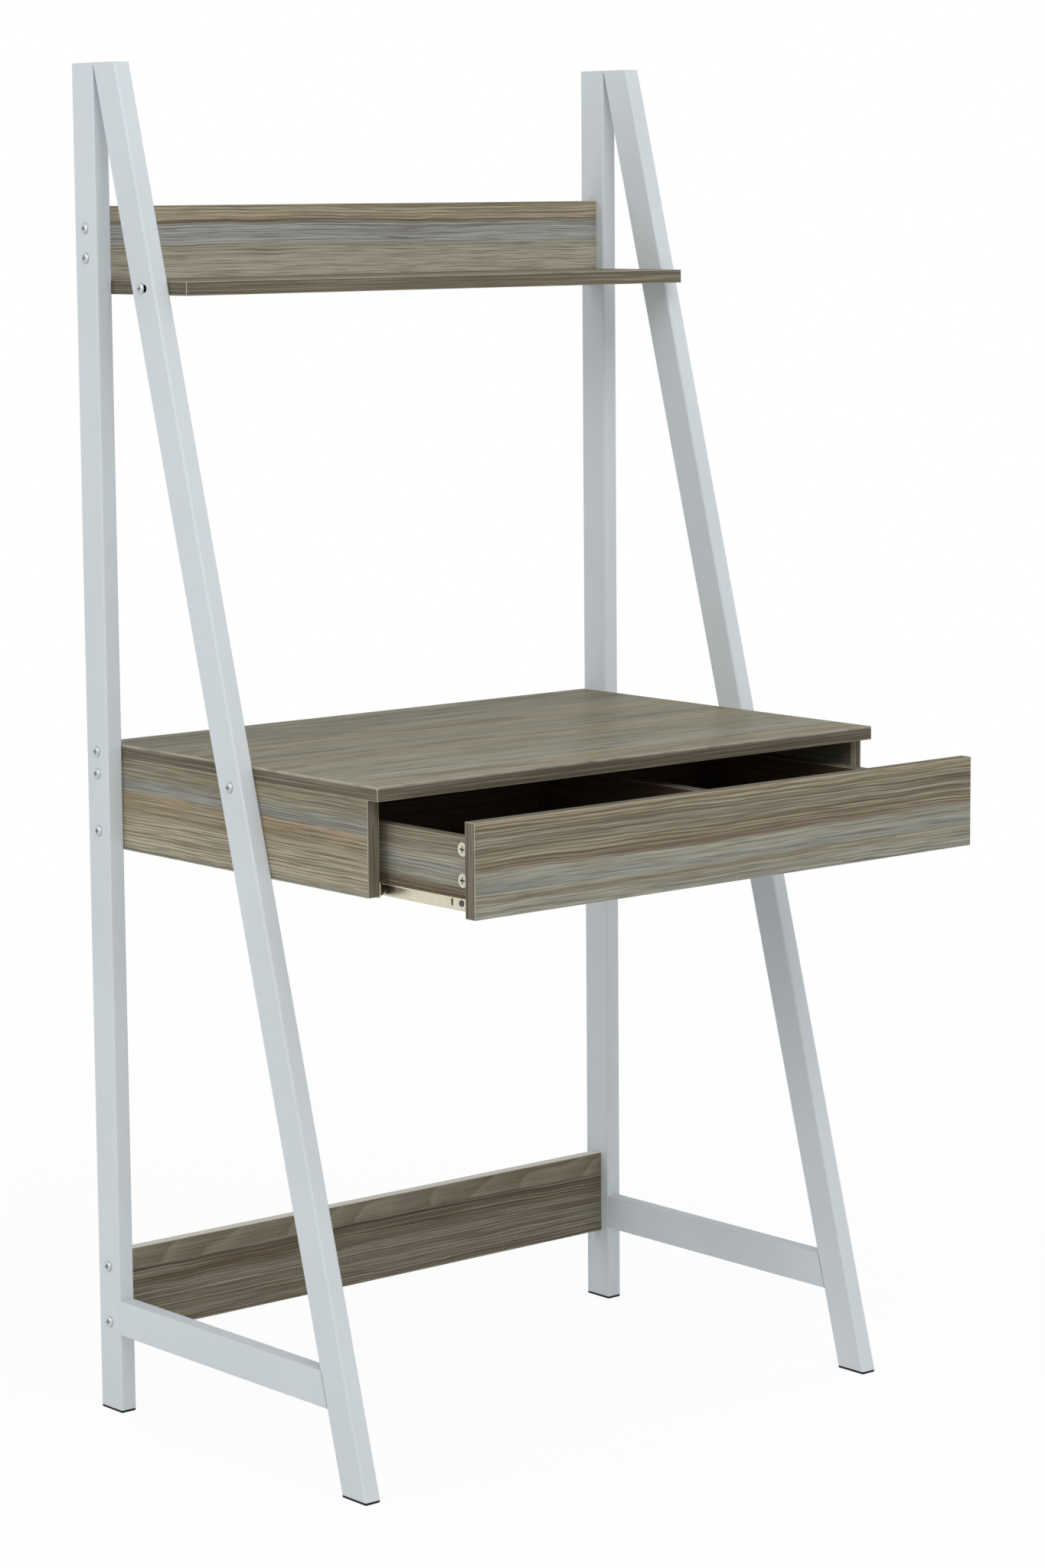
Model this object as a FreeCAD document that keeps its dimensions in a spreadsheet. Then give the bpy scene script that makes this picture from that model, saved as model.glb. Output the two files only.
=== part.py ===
import FreeCAD, Part
import math
import os
import Sketcher

# Ladder desk: two welded tube frames, each an upright rear leg and a leaning front leg that meet at the
# top, joined by a shelf, a desk top with a drawer cabinet under it, and a low stretcher.
# Millimetres. +X is the desk's right, the user sits at -Y, +Z is up. The origin is on the floor, in the
# middle of the whole desk, with the drawer standing open by drawer_opening.

doc = FreeCAD.newDocument("LadderDesk")

# --------------------------------------------------------------------------------------------- sizes
SIZES = (
    # whole desk
    ("desk_height", 1500, "floor to the top of the legs"),
    ("desk_width", 750, "over the outer faces of the legs"),
    ("desk_depth", 495, "rear of the legs to the front edge of the desk top"),
    ("drawer_opening", 155, "how far the drawer stands open as modelled"),
    # frame tube
    ("tube_depth", 40, "long side of the frame tube"),
    ("tube_width", 20, "short side of the frame tube"),
    ("tube_wall", 1.2, "wall of the frame tube"),
    ("tube_corner", 2.5, "outer corner radius of the frame tube"),
    ("lean_angle", 15.1, "lean of the front legs from upright, degrees"),
    ("top_plate", 3, "plate over the tube ends at the top"),
    ("crossbar_level", 90, "floor to the underside of the crossbar"),
    # feet
    ("foot_height", 3, "visible part of a foot plug"),
    ("foot_round", 1.2, "round of a foot plug's lower rim"),
    ("plug_height", 14, "part of a foot plug inside the tube"),
    ("plug_gap", 1, "space between the plug and the tube wall, bridged by the fins"),
    ("plug_wall", 1.8, "wall of the hollow plug"),
    ("fin_height", 1, "thickness of a plug's grip fin"),
    ("fin_pitch", 5, "spacing of the grip fins"),
    # boards
    ("board", 15, "thickness of every board"),
    ("board_bevel", 0.4, "bevel on the board edges"),
    ("top_level", 758, "floor to the working surface"),
    ("shelf_level", 1267, "floor to the shelf surface"),
    ("shelf_depth", 165.5, "shelf, front to rear"),
    ("rail_height", 80, "rail that stands on the shelf"),
    ("back_height", 98, "cabinet back and low stretcher"),
    ("stretcher_level", 85.5, "floor to the underside of the low stretcher"),
    ("side_height", 102, "cabinet sides"),
    ("side_setback", 17, "cabinet sides behind the front edge of the desk top"),
    # drawer
    ("front_gap", 4.6, "between the desk top and the drawer front"),
    ("front_height", 98.4, "drawer front"),
    ("box_length", 400, "drawer box behind the front"),
    ("box_height", 74, "drawer box sides"),
    ("bottom_sheet", 3, "drawer bottom"),
    ("groove_level", 8.8, "lower edge of a drawer side to its groove"),
    ("groove_depth", 5, "groove for the drawer bottom"),
    ("groove_play", 0.5, "between the drawer bottom's edge and the end of its groove"),
    ("groove_slack", 0.2, "groove wider than the drawer bottom"),
    ("divider_offset", 76, "centre of the desk to the middle of the drawer divider"),
    # drawer slides
    ("slide_gap", 12.5, "between a cabinet side and the drawer side"),
    ("runner_sheet", 1.2, "sheet steel of the runners"),
    ("runner_bend", 1.2, "outer bend radius of the runners"),
    ("runner_length", 400, "cabinet runner"),
    ("runner_setback", 0, "cabinet runner behind the front edge of the cabinet side"),
    ("runner_ear", 1.8, "front end of the cabinet runner's web below its flange"),
    ("drawer_runner_height", 15.2, "drawer runner"),
    ("drawer_runner_play", 1, "between the drawer runner and the drawer front"),
    ("drawer_shelf", 13, "flange of the drawer runner under the drawer side"),
    ("track_width", 8.8, "flange of the drawer runner that rolls on the cabinet roller"),
    ("channel_rise", 1.2, "cabinet channel above the underside of the drawer runner"),
    ("channel_width", 10, "cabinet channel, over its web and flange"),
    ("roller_diameter", 13, "runner rollers"),
    ("roller_width", 6, "runner rollers"),
    ("roller_play", 0.3, "between a roller and the track it runs on"),
    ("roller_side_play", 0.5, "between a roller and the web that carries it"),
    ("roller_inset", 8, "roller axis to the end of its runner"),
    ("roller_notch", 16.5, "length cut from the flanges to clear a roller"),
    ("roller_groove", 1, "depth of the ring moulded into a roller's faces"),
    ("roller_bevel", 0.6, "bevel on a roller's rim"),
    ("hub_diameter", 7, "hub of a roller"),
    ("rim_wall", 1.6, "thickness of a roller's rim"),
    ("pin_diameter", 4, "roller pins"),
    ("pin_play", 0.08, "radial play of a roller on its pin"),
    ("pin_head_diameter", 6.5, "head of a roller pin"),
    ("pin_head", 0.9, "thickness of a roller pin's head"),
    ("slot_width", 3.4, "adjusting slots in the drawer runner"),
    ("slot_length", 8, "adjusting slots in the drawer runner"),
    ("slot_spacing", 15, "screw to the adjusting slot beside it"),
    ("runner_screw_first", 37, "front end of a runner to its first screw"),
    ("runner_screw_pitch", 160, "spacing of the runner screws"),
    ("drawer_screw_level", 8, "underside of the drawer runner to its screws and slots"),
    # frame bolts
    ("bolt_diameter", 6, "frame bolts"),
    ("bolt_hole", 7, "clearance holes for the frame bolts"),
    ("bolt_head_diameter", 12, "heads of the frame bolts"),
    ("bolt_head", 2.6, "height of the bolt heads"),
    ("bolt_head_round", 1.8, "round of the bolt heads"),
    ("bolt_reach", 26, "how far a bolt enters the end of a board"),
    ("bolt_tip", 0.8, "bevel of a bolt's tip"),
    ("rail_bolt_pitch", 32, "bolts at each end of the shelf rail"),
    ("back_bolt_pitch", 64, "bolts at each end of the cabinet back and the stretcher"),
    ("shelf_bolt_offset", 2.6, "shelf bolt behind the middle of the front leg"),
    ("shelf_slot_length", 15, "slot in the front leg for the shelf bolt"),
    ("shelf_slot_width", 8.6, "slot in the front leg for the shelf bolt"),
    ("side_bolt_drop", 7, "underside of the desk top to the bolt in the front leg"),
    ("nut_diameter", 10, "barrel nuts"),
    ("nut_length", 12, "barrel nuts"),
    ("nut_inset", 18, "end of a board to the axis of its barrel nuts"),
    ("nut_slot", 1.2, "screwdriver slot across a barrel nut"),
    ("insert_diameter", 9, "threaded inserts in the cabinet sides"),
    ("insert_length", 12, "threaded inserts in the cabinet sides"),
    # cross recess of bolts, cams and screws
    ("recess_span", 0.5, "tip to tip of a cross recess, as a share of its head"),
    ("recess_arm", 0.12, "width of a recess arm, as a share of its head"),
    ("recess_depth", 1.4, "depth of a cross recess in a bolt or cam"),
    # cam locks
    ("cam_diameter", 15, "cam locks"),
    ("cam_depth", 12, "cam locks"),
    ("cam_setback", 38, "end of a board to the middle of its cam"),
    ("cam_rim", 0.8, "round of a cam's outer rim"),
    ("cam_pin_diameter", 7, "pins that the cams pull on"),
    ("cam_pin_play", 0.3, "space round a cam pin in its board and cam"),
    ("cam_pin_anchor", 11, "part of a cam pin screwed into the other board"),
    ("cam_pin_end", 3, "how far a cam pin reaches past the middle of its cam"),
    ("drawer_cam_pitch", 32, "cams on each drawer side"),
    ("drawer_cam_lift", 29.8, "lower edge of a drawer side to its lower cam"),
    ("top_cam_inset", 60, "cabinet side's ends to the cams under the desk top"),
    # screws and dowels
    ("screw_head_diameter", 7, "runner screws"),
    ("screw_head", 1.2, "head of a runner screw"),
    ("screw_diameter", 3, "runner screws"),
    ("screw_length", 13, "runner screws, under the head"),
    ("screw_tip", 0.2, "radius left at a screw's point"),
    ("back_screw_diameter", 4, "screws into the drawer back"),
    ("back_screw_length", 45, "screws into the drawer back"),
    ("back_screw_head_diameter", 8, "screws into the drawer back"),
    ("back_screw_inset", 18, "drawer back's lower and upper edge to its screws"),
    ("dowel_diameter", 8, "wooden dowels"),
    ("dowel_length", 30, "wooden dowels"),
    ("dowel_bevel", 0.8, "bevel of a dowel's ends"),
    ("dowel_in_face", 10, "how far a dowel enters the face of a board"),
    ("dowel_play", 0.5, "space past each end of a dowel"),
    ("dowel_spacing", 240, "spacing of the dowels along a rail"),
)

sheet = doc.addObject("Spreadsheet::Sheet", "sizes")
for row, (alias, value, note) in enumerate(SIZES, start=1):
    sheet.set(f"A{row}", alias)
    sheet.set(f"B{row}", str(value))
    sheet.set(f"C{row}", note)
    sheet.setAlias(f"B{row}", alias)
doc.recompute()

# ---------------------------------------------------------------------- places worked out from sizes
REAR = "((sizes.desk_depth + sizes.drawer_opening) / 2)"
INNER = "(sizes.desk_width / 2 - sizes.tube_width)"
OUTER = "(sizes.desk_width / 2)"
TOP_UNDER = "(sizes.top_level - sizes.board)"
SIDE_BOTTOM = f"({TOP_UNDER} - sizes.side_height)"
SIDE_FRONT = f"({REAR} - sizes.desk_depth + sizes.side_setback)"
REAR_BOLT = f"({REAR} - sizes.tube_depth / 2)"
RAIL_REAR = f"({REAR_BOLT} + sizes.board / 2)"
SHELF_BOTTOM = "(sizes.shelf_level - sizes.board)"
FRONT_BOTTOM = f"({TOP_UNDER} - sizes.front_gap - sizes.front_height)"
BOX_FRONT = f"({REAR} - sizes.desk_depth - sizes.drawer_opening + sizes.board)"
BOX_REAR = f"({BOX_FRONT} + sizes.box_length)"
BOX_OUTER = f"({INNER} - sizes.board - sizes.slide_gap)"
BOX_INNER = f"({BOX_OUTER} - sizes.board)"
BOX_BOTTOM = f"({FRONT_BOTTOM} + sizes.runner_sheet)"
BACK_BOTTOM = f"({TOP_UNDER} - sizes.back_height)"
CABINET_INNER = f"({INNER} - sizes.board)"

RAIL_BOLTS = [f"(sizes.rail_height / 2 {sign} sizes.rail_bolt_pitch / 2)" for sign in "-+"]
BACK_BOLTS = [f"(sizes.back_height / 2 {sign} sizes.back_bolt_pitch / 2)" for sign in "-+"]
DRAWER_CAMS = ["sizes.drawer_cam_lift", "(sizes.drawer_cam_lift + sizes.drawer_cam_pitch)"]
BACK_SCREWS = ["sizes.back_screw_inset", "(sizes.box_height - sizes.back_screw_inset)"]
RUNNER_SCREWS = [f"(sizes.runner_screw_first + {step} * sizes.runner_screw_pitch)" for step in range(3)]
TOP_CAMS = ["(-sizes.top_cam_inset)",
            f"(-({REAR} - {SIDE_FRONT}) + sizes.top_cam_inset)"]
DOWELS = ["(-sizes.dowel_spacing)", "0", "sizes.dowel_spacing"]

# Heights in the runners, from the underside of the drawer runner.
CABINET_AXLE = ("(sizes.drawer_runner_height - sizes.runner_sheet - sizes.roller_play"
                " - sizes.roller_diameter / 2)")
DRAWER_AXLE = ("(sizes.channel_rise + sizes.runner_sheet + sizes.roller_play"
               " + sizes.roller_diameter / 2)")
CHANNEL_TOP = (f"({DRAWER_AXLE} + sizes.roller_diameter / 2 + sizes.roller_play"
               " + sizes.runner_sheet)")

PLANE_NORMAL = {"XY_Plane": 1, "XZ_Plane": -1, "YZ_Plane": 1}

# Millimetres within which two places count as one when edges are picked.
CLOSE = 0.001


# -------------------------------------------------------------------------------- modelling helpers
def place(item, x="0", y="0", z="0"):
    for axis, where in zip("xyz", (x, y, z)):
        item.setExpression(f"Placement.Base.{axis}", where)


def new_body(label, x="0", y="0", z="0"):
    body = doc.addObject("PartDesign::Body", label)
    body.Label = label
    place(body, x, y, z)
    return body


def origin_plane(body, role):
    return next(item for item in body.Origin.OriginFeatures if item.Role == role)


def new_sketch(body, role, at="0"):
    """A sketch on one of the body's planes, moved to the coordinate `at` along that plane's axis."""
    sketch = body.newObject("Sketcher::SketchObject", body.Name + "_sketch")
    sketch.AttachmentSupport = (origin_plane(body, role), [""])
    sketch.MapMode = "FlatFace"
    sketch.setExpression("AttachmentOffset.Base.z", f"{PLANE_NORMAL[role]} * ({at})")
    return sketch


def dimension(sketch, kind, geometry, point, size):
    """Holds a point of the sketch at a distance from its origin, or a curve at a radius."""
    value = float(sketch.evalExpression(size))
    if kind == "Radius":
        index = sketch.addConstraint(Sketcher.Constraint("Radius", geometry, value))
    else:
        index = sketch.addConstraint(Sketcher.Constraint(kind, -1, 1, geometry, point, value))
    sketch.setExpression(f"Constraints[{index}]", size)


def draw_polygon(sketch, corners):
    """A closed outline of straight lines; each corner is an (across, up) pair of sizes."""
    points = [FreeCAD.Vector(*(float(sketch.evalExpression(size)) for size in corner), 0)
              for corner in corners]
    lines = []
    for start, end in zip(points, points[1:] + points[:1]):
        lines.append(sketch.addGeometry(Part.LineSegment(start, end), False))
    for line, following in zip(lines, lines[1:] + lines[:1]):
        sketch.addConstraint(Sketcher.Constraint("Coincident", line, 2, following, 1))
    for line, (across, up) in zip(lines, corners):
        dimension(sketch, "DistanceX", line, 1, across)
        dimension(sketch, "DistanceY", line, 1, up)


def draw_circle(sketch, across, up, diameter):
    centre = FreeCAD.Vector(float(sketch.evalExpression(across)), float(sketch.evalExpression(up)), 0)
    radius = f"({diameter}) / 2"
    circle = sketch.addGeometry(
        Part.Circle(centre, FreeCAD.Vector(0, 0, 1), float(sketch.evalExpression(radius))), False)
    dimension(sketch, "Radius", circle, 0, radius)
    dimension(sketch, "DistanceX", circle, 3, across)
    dimension(sketch, "DistanceY", circle, 3, up)


def draw_slot(sketch, across, up, length, width, upright=False):
    """A round-ended slot centred on a point, level or upright."""
    reach = f"(({length}) - ({width})) / 2"
    radius = f"({width}) / 2"
    middle = FreeCAD.Vector(float(sketch.evalExpression(across)), float(sketch.evalExpression(up)), 0)
    r = float(sketch.evalExpression(radius))
    along = FreeCAD.Vector(0, 1, 0) if upright else FreeCAD.Vector(1, 0, 0)
    turn = 90 if upright else 0
    side = FreeCAD.Rotation(FreeCAD.Vector(0, 0, 1), 90).multVec(along)
    run = along * float(sketch.evalExpression(reach))
    ends = []
    for sign in (1, -1):
        base = Part.Circle(middle + run * sign, FreeCAD.Vector(0, 0, 1), r)
        first = math.radians(turn - sign * 90)
        ends.append(sketch.addGeometry(Part.ArcOfCircle(base, first, first + math.pi), False))
    sides = []
    for sign in (1, -1):
        start = middle + run * sign + side * r * sign
        end = middle - run * sign + side * r * sign
        sides.append(sketch.addGeometry(Part.LineSegment(start, end), False))
    for near, line, far in ((ends[0], sides[0], ends[1]), (ends[1], sides[1], ends[0])):
        sketch.addConstraint(Sketcher.Constraint("Tangent", near, 2, line, 1))
        sketch.addConstraint(Sketcher.Constraint("Tangent", line, 2, far, 1))
    sketch.addConstraint(Sketcher.Constraint("Equal", ends[0], ends[1]))
    dimension(sketch, "Radius", ends[0], 0, radius)
    for end, sign in zip(ends, "+-"):
        if upright:
            dimension(sketch, "DistanceX", end, 3, across)
            dimension(sketch, "DistanceY", end, 3, f"({up}) {sign} {reach}")
        else:
            dimension(sketch, "DistanceX", end, 3, f"({across}) {sign} {reach}")
            dimension(sketch, "DistanceY", end, 3, up)


def extrude(body, kind, sketch, length, toward=0):
    """Pads or pockets a sketch: toward +1 or -1 along its plane's axis, or 0 for both ways alike."""
    feature = body.newObject(f"PartDesign::{kind}", f"{body.Name}_{kind.lower()}")
    feature.Profile = sketch
    feature.setExpression("Length", length)
    feature.Refine = False
    if toward == 0:
        feature.SideType = "Symmetric"
    else:
        role = sketch.AttachmentSupport[0][0].Role
        along_normal = toward * PLANE_NORMAL[role] > 0
        feature.Reversed = along_normal if kind == "Pocket" else not along_normal
    return feature


def straight_edges(feature, direction, test=None):
    """Names of the feature's straight edges that run along a direction and pass a test of their middle."""
    doc.recompute()
    direction = FreeCAD.Vector(*direction).normalize()
    names = []
    for number, edge in enumerate(feature.Shape.Edges, start=1):
        if edge.Curve.TypeId != "Part::GeomLine":
            continue
        run = edge.Vertexes[1].Point - edge.Vertexes[0].Point
        if run.cross(direction).Length > CLOSE * run.Length:
            continue
        if test is None or test(edge.CenterOfMass):
            names.append(f"Edge{number}")
    return names


def low_edges(feature, level):
    """Names of the feature's edges that lie wholly below a height."""
    doc.recompute()
    return [f"Edge{number}" for number, edge in enumerate(feature.Shape.Edges, start=1)
            if edge.BoundBox.ZMax < level]


def dress(body, kind, feature, edges, size):
    """A fillet or chamfer on named edges."""
    dressing = body.newObject(f"PartDesign::{kind}", f"{body.Name}_{kind.lower()}")
    dressing.Base = (feature, edges)
    dressing.setExpression("Radius" if kind == "Fillet" else "Size", size)
    return dressing


def drill(body, role, spots, at, depth, toward):
    """Round holes. Each spot is (across, up, diameter) on the plane through `at`."""
    sketch = new_sketch(body, role, at)
    for spot in spots:
        draw_circle(sketch, *spot)
    return extrude(body, "Pocket", sketch, depth, toward)


def both_ends(body, *features):
    """Repeats features at the other end of a body that is centred on X."""
    mirror = body.newObject("PartDesign::Mirrored", f"{body.Name}_mirrored")
    mirror.MirrorPlane = (origin_plane(body, "YZ_Plane"), [""])
    mirror.Originals = list(features)
    body.Tip = mirror
    return mirror


def board(label, length, depth, height, x="0", y="0", z="0"):
    """A panel with bevelled edges: centred in X, its rear face at y = 0, its underside at z = 0."""
    body = new_body(label, x, y, z)
    sketch = new_sketch(body, "XY_Plane")
    half, front = f"({length}) / 2", f"-({depth})"
    draw_polygon(sketch, [(f"-{half}", front), (half, front), (half, "0"), (f"-{half}", "0")])
    slab = extrude(body, "Pad", sketch, height, 1)
    doc.recompute()
    dress(body, "Chamfer", slab, [f"Edge{n}" for n in range(1, 13)], "sizes.board_bevel")
    return body


def mirrored(label, source):
    """The right-hand twin of a left-hand piece."""
    twin = doc.addObject("Part::Mirroring", label)
    twin.Label = label
    twin.Source = source
    twin.Normal = FreeCAD.Vector(1, 0, 0)
    return twin


TURNS = {
    "+X": FreeCAD.Rotation(FreeCAD.Vector(0, 1, 0), 90),
    "-X": FreeCAD.Rotation(FreeCAD.Vector(0, 1, 0), -90),
    "+Y": FreeCAD.Rotation(FreeCAD.Vector(1, 0, 0), -90),
    "-Y": FreeCAD.Rotation(FreeCAD.Vector(1, 0, 0), 90),
    "+Z": FreeCAD.Rotation(),
    "-Z": FreeCAD.Rotation(FreeCAD.Vector(1, 0, 0), 180),
}


def group(label, master, spots, two_sided=True):
    """Identical pieces as one node. Each spot is (x, y, z, way), where way is how the master's +Z points;
    two-sided spots are given on the left and repeated on the right."""
    copies = []
    for x, y, z, way in spots:
        for side in ((1, -1) if two_sided else (1,)):
            copy = doc.addObject("App::Link", label + "_copy")
            copy.LinkedObject = master
            flipped = {"+X": "-X", "-X": "+X"}.get(way, way)
            copy.Placement = FreeCAD.Placement(FreeCAD.Vector(), TURNS[way if side > 0 else flipped])
            place(copy, f"{side} * ({x})", y, z)
            copies.append(copy)
    node = doc.addObject("Part::Compound", label)
    node.Label = label
    node.Links = copies
    return node


def cross_recess(body, head, start, depth):
    """A cross-shaped driver recess, cut toward +Z from the height `start`."""
    tip = f"({head}) * sizes.recess_span / 2"
    arm = f"({head}) * sizes.recess_arm / 2"
    signs = ((1, 1), (-1, 1), (-1, -1), (1, -1))
    corners = []
    for across, up in signs:
        ends = [(f"{across} * {tip}", f"{up} * {arm}"), (f"{across} * {arm}", f"{up} * {arm}"),
                (f"{across} * {arm}", f"{up} * {tip}")]
        corners += ends if across * up > 0 else ends[::-1]
    sketch = new_sketch(body, "XY_Plane", start)
    draw_polygon(sketch, corners)
    return extrude(body, "Pocket", sketch, depth, 1)


def turned_pin(label, steps):
    """A round piece turned about Z; steps are (radius, height) pairs from its lower to its upper end."""
    body = new_body(label)
    sketch = new_sketch(body, "XZ_Plane")
    draw_polygon(sketch, [("0", steps[0][1])] + list(steps) + [("0", steps[-1][1])])
    turning = body.newObject("PartDesign::Revolution", label + "_turning")
    turning.Profile = sketch
    turning.ReferenceAxis = (sketch, ["V_Axis"])
    turning.Angle = 360
    turning.Refine = False
    return body


# ------------------------------------------------------------------------------------- tube frames
def rear_edge(z, lean):
    """Y of a leg's rear edge at height z; it is 0 at the desk's full height."""
    return f"(-(sizes.desk_height - ({z})) * tan({lean}))"


def front_edge(z, lean):
    return f"({rear_edge(z, lean)} - sizes.tube_depth / cos({lean}))"


def tube_outline(low, high, lean, inset="0"):
    """Side outline of a leg between two heights, with both edges drawn in by inset."""
    shift = f"({inset}) / cos({lean})"
    return [(f"{rear_edge(low, lean)} - {shift}", low), (f"{rear_edge(high, lean)} - {shift}", high),
            (f"{front_edge(high, lean)} + {shift}", high), (f"{front_edge(low, lean)} + {shift}", low)]


def lean_direction(lean):
    angle = float(sheet.evalExpression(lean))
    return FreeCAD.Rotation(FreeCAD.Vector(1, 0, 0), -angle).multVec(FreeCAD.Vector(0, 0, 1))


LEG_X = "(-(sizes.desk_width - sizes.tube_width) / 2)"
TUBE_TOP = "(sizes.desk_height - sizes.top_plate)"
HOLLOW_WIDTH = "(sizes.tube_width - 2 * sizes.tube_wall)"
FRONT_LEG_Y = f"({REAR} - sizes.tube_depth)"
LEAN = "sizes.lean_angle"
CROSSBAR_TOP = "(sizes.crossbar_level + sizes.tube_depth)"


def front_leg_middle(z):
    return f"(({rear_edge(z, LEAN)} + {front_edge(z, LEAN)}) / 2)"


def leg(label, lean, y):
    """A hollow leg cut level at both ends."""
    body = new_body(label, LEG_X, y)
    sketch = new_sketch(body, "YZ_Plane")
    draw_polygon(sketch, tube_outline("sizes.foot_height", TUBE_TOP, lean))
    bar = extrude(body, "Pad", sketch, "sizes.tube_width")
    dress(body, "Fillet", bar, straight_edges(bar, lean_direction(lean)), "sizes.tube_corner")
    hollow = new_sketch(body, "YZ_Plane")
    draw_polygon(hollow, tube_outline("sizes.foot_height", TUBE_TOP, lean, "sizes.tube_wall"))
    extrude(body, "Pocket", hollow, HOLLOW_WIDTH)
    return body


def rear_leg():
    body = leg("rear_leg_left", "0", REAR)
    levels = [f"{SHELF_BOTTOM} + sizes.board + {bolt}" for bolt in RAIL_BOLTS]
    levels += [f"{BACK_BOTTOM} + {bolt}" for bolt in BACK_BOLTS]
    levels += [f"sizes.stretcher_level + {bolt}" for bolt in BACK_BOLTS]
    levels.append("sizes.top_level - sizes.board / 2")
    spots = [("-sizes.tube_depth / 2", level, "sizes.bolt_hole") for level in levels]
    drill(body, "YZ_Plane", spots, "0", "sizes.tube_width", 0)
    return body


SHELF_BOLT_Z = "(sizes.shelf_level - sizes.board / 2)"
SHELF_BOLT_Y = f"({front_leg_middle(SHELF_BOLT_Z)} + sizes.shelf_bolt_offset)"
SIDE_BOLT_Z = f"({TOP_UNDER} - sizes.side_bolt_drop)"
SIDE_BOLT_Y = front_leg_middle(SIDE_BOLT_Z)


def front_leg():
    """The front leg has a plain hole for the cabinet bolt and a longer slot for the shelf bolt."""
    body = leg("front_leg_left", LEAN, FRONT_LEG_Y)
    drill(body, "YZ_Plane", [(SIDE_BOLT_Y, SIDE_BOLT_Z, "sizes.bolt_hole")], "0", "sizes.tube_width", 0)
    slot = new_sketch(body, "YZ_Plane")
    draw_slot(slot, front_leg_middle(SHELF_BOLT_Z), SHELF_BOLT_Z,
              "sizes.shelf_slot_length", "sizes.shelf_slot_width")
    extrude(body, "Pocket", slot, "sizes.tube_width")
    return body


def crossbar():
    """The low tube between the legs, mitred to the front leg's lean."""
    body = new_body("crossbar_left", LEG_X, FRONT_LEG_Y)
    sketch = new_sketch(body, "YZ_Plane")
    low = "sizes.crossbar_level"
    draw_polygon(sketch, [("0", low), ("0", CROSSBAR_TOP), (rear_edge(CROSSBAR_TOP, LEAN), CROSSBAR_TOP),
                          (rear_edge(low, LEAN), low)])
    bar = extrude(body, "Pad", sketch, "sizes.tube_width")
    dress(body, "Fillet", bar, straight_edges(bar, (0, 1, 0)), "sizes.tube_corner")
    hollow = new_sketch(body, "YZ_Plane")
    low, high = f"({low} + sizes.tube_wall)", f"({CROSSBAR_TOP} - sizes.tube_wall)"
    draw_polygon(hollow, [("sizes.tube_wall", low), ("sizes.tube_wall", high),
                          (f"{rear_edge(low, LEAN)} - sizes.tube_wall", high),
                          (f"{rear_edge(low, LEAN)} - sizes.tube_wall", low)])
    extrude(body, "Pocket", hollow, HOLLOW_WIDTH)
    return body


def top_plate():
    """The plate that closes both leg tubes at the top."""
    body = new_body("top_plate_left", LEG_X, FRONT_LEG_Y)
    sketch = new_sketch(body, "YZ_Plane")
    top = "sizes.desk_height"
    draw_polygon(sketch, [("sizes.tube_depth", TUBE_TOP), ("sizes.tube_depth", top),
                          (front_edge(top, LEAN), top), (front_edge(TUBE_TOP, LEAN), TUBE_TOP)])
    plate = extrude(body, "Pad", sketch, "sizes.tube_width")
    corners = straight_edges(plate, (0, 0, 1)) + straight_edges(plate, lean_direction(LEAN))
    dress(body, "Fillet", plate, corners, "sizes.tube_corner")
    return body


def foot(label, lean, y):
    """A black plug: a rim as large as the tube's end, and a hollow stem held in the tube by thin fins."""
    body = new_body(label, LEG_X, y)
    sketch = new_sketch(body, "YZ_Plane")
    rim = "sizes.foot_height"
    near, far = rear_edge(rim, lean), front_edge(rim, lean)
    draw_polygon(sketch, [(near, "0"), (near, rim), (far, rim), (far, "0")])
    pad = extrude(body, "Pad", sketch, "sizes.tube_width")
    corners = dress(body, "Fillet", pad, straight_edges(pad, (0, 0, 1)), "sizes.tube_corner")
    dress(body, "Fillet", corners, low_edges(corners, CLOSE), "sizes.foot_round")
    stem_top = "(sizes.foot_height + sizes.plug_height)"
    stem = new_sketch(body, "YZ_Plane")
    draw_polygon(stem, tube_outline(rim, stem_top, lean, "sizes.tube_wall + sizes.plug_gap"))
    extrude(body, "Pad", stem, f"{HOLLOW_WIDTH} - 2 * sizes.plug_gap")
    for step in (1, 2):
        level = f"({rim} + {step} * sizes.fin_pitch)"
        fin = new_sketch(body, "YZ_Plane")
        draw_polygon(fin, tube_outline(level, f"({level} + sizes.fin_height)", lean, "sizes.tube_wall"))
        extrude(body, "Pad", fin, HOLLOW_WIDTH)
    hollow = new_sketch(body, "YZ_Plane")
    inset = "sizes.tube_wall + sizes.plug_gap + sizes.plug_wall"
    draw_polygon(hollow, tube_outline(rim, stem_top, lean, inset))
    extrude(body, "Pocket", hollow, f"{HOLLOW_WIDTH} - 2 * (sizes.plug_gap + sizes.plug_wall)")
    return body


# ------------------------------------------------------------------------------------------- boards
END_HOLE = "sizes.bolt_reach + 2 * sizes.bolt_tip"
NUT_HOLE = "(sizes.board / 2 + sizes.nut_length / 2)"
DOWEL_IN_EDGE = "(sizes.dowel_length - sizes.dowel_in_face)"


def bolted_ends(body, length, spots):
    """Bolt holes in both ends of a board; spots are (y, z) pairs."""
    holes = [(y, z, "sizes.bolt_hole") for y, z in spots]
    end = drill(body, "YZ_Plane", holes, f"-({length}) / 2", END_HOLE, 1)
    both_ends(body, end)


def nut_holes(body, length, across, role, at, toward):
    """Blind holes for the barrel nuts, at both ends, from the face that is turned away."""
    reach = f"(({length}) / 2 - sizes.nut_inset)"
    spots = [(f"{side} * {reach}", place_across, "sizes.nut_diameter")
             for side in (-1, 1) for place_across in across]
    drill(body, role, spots, at, NUT_HOLE, toward)


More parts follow.
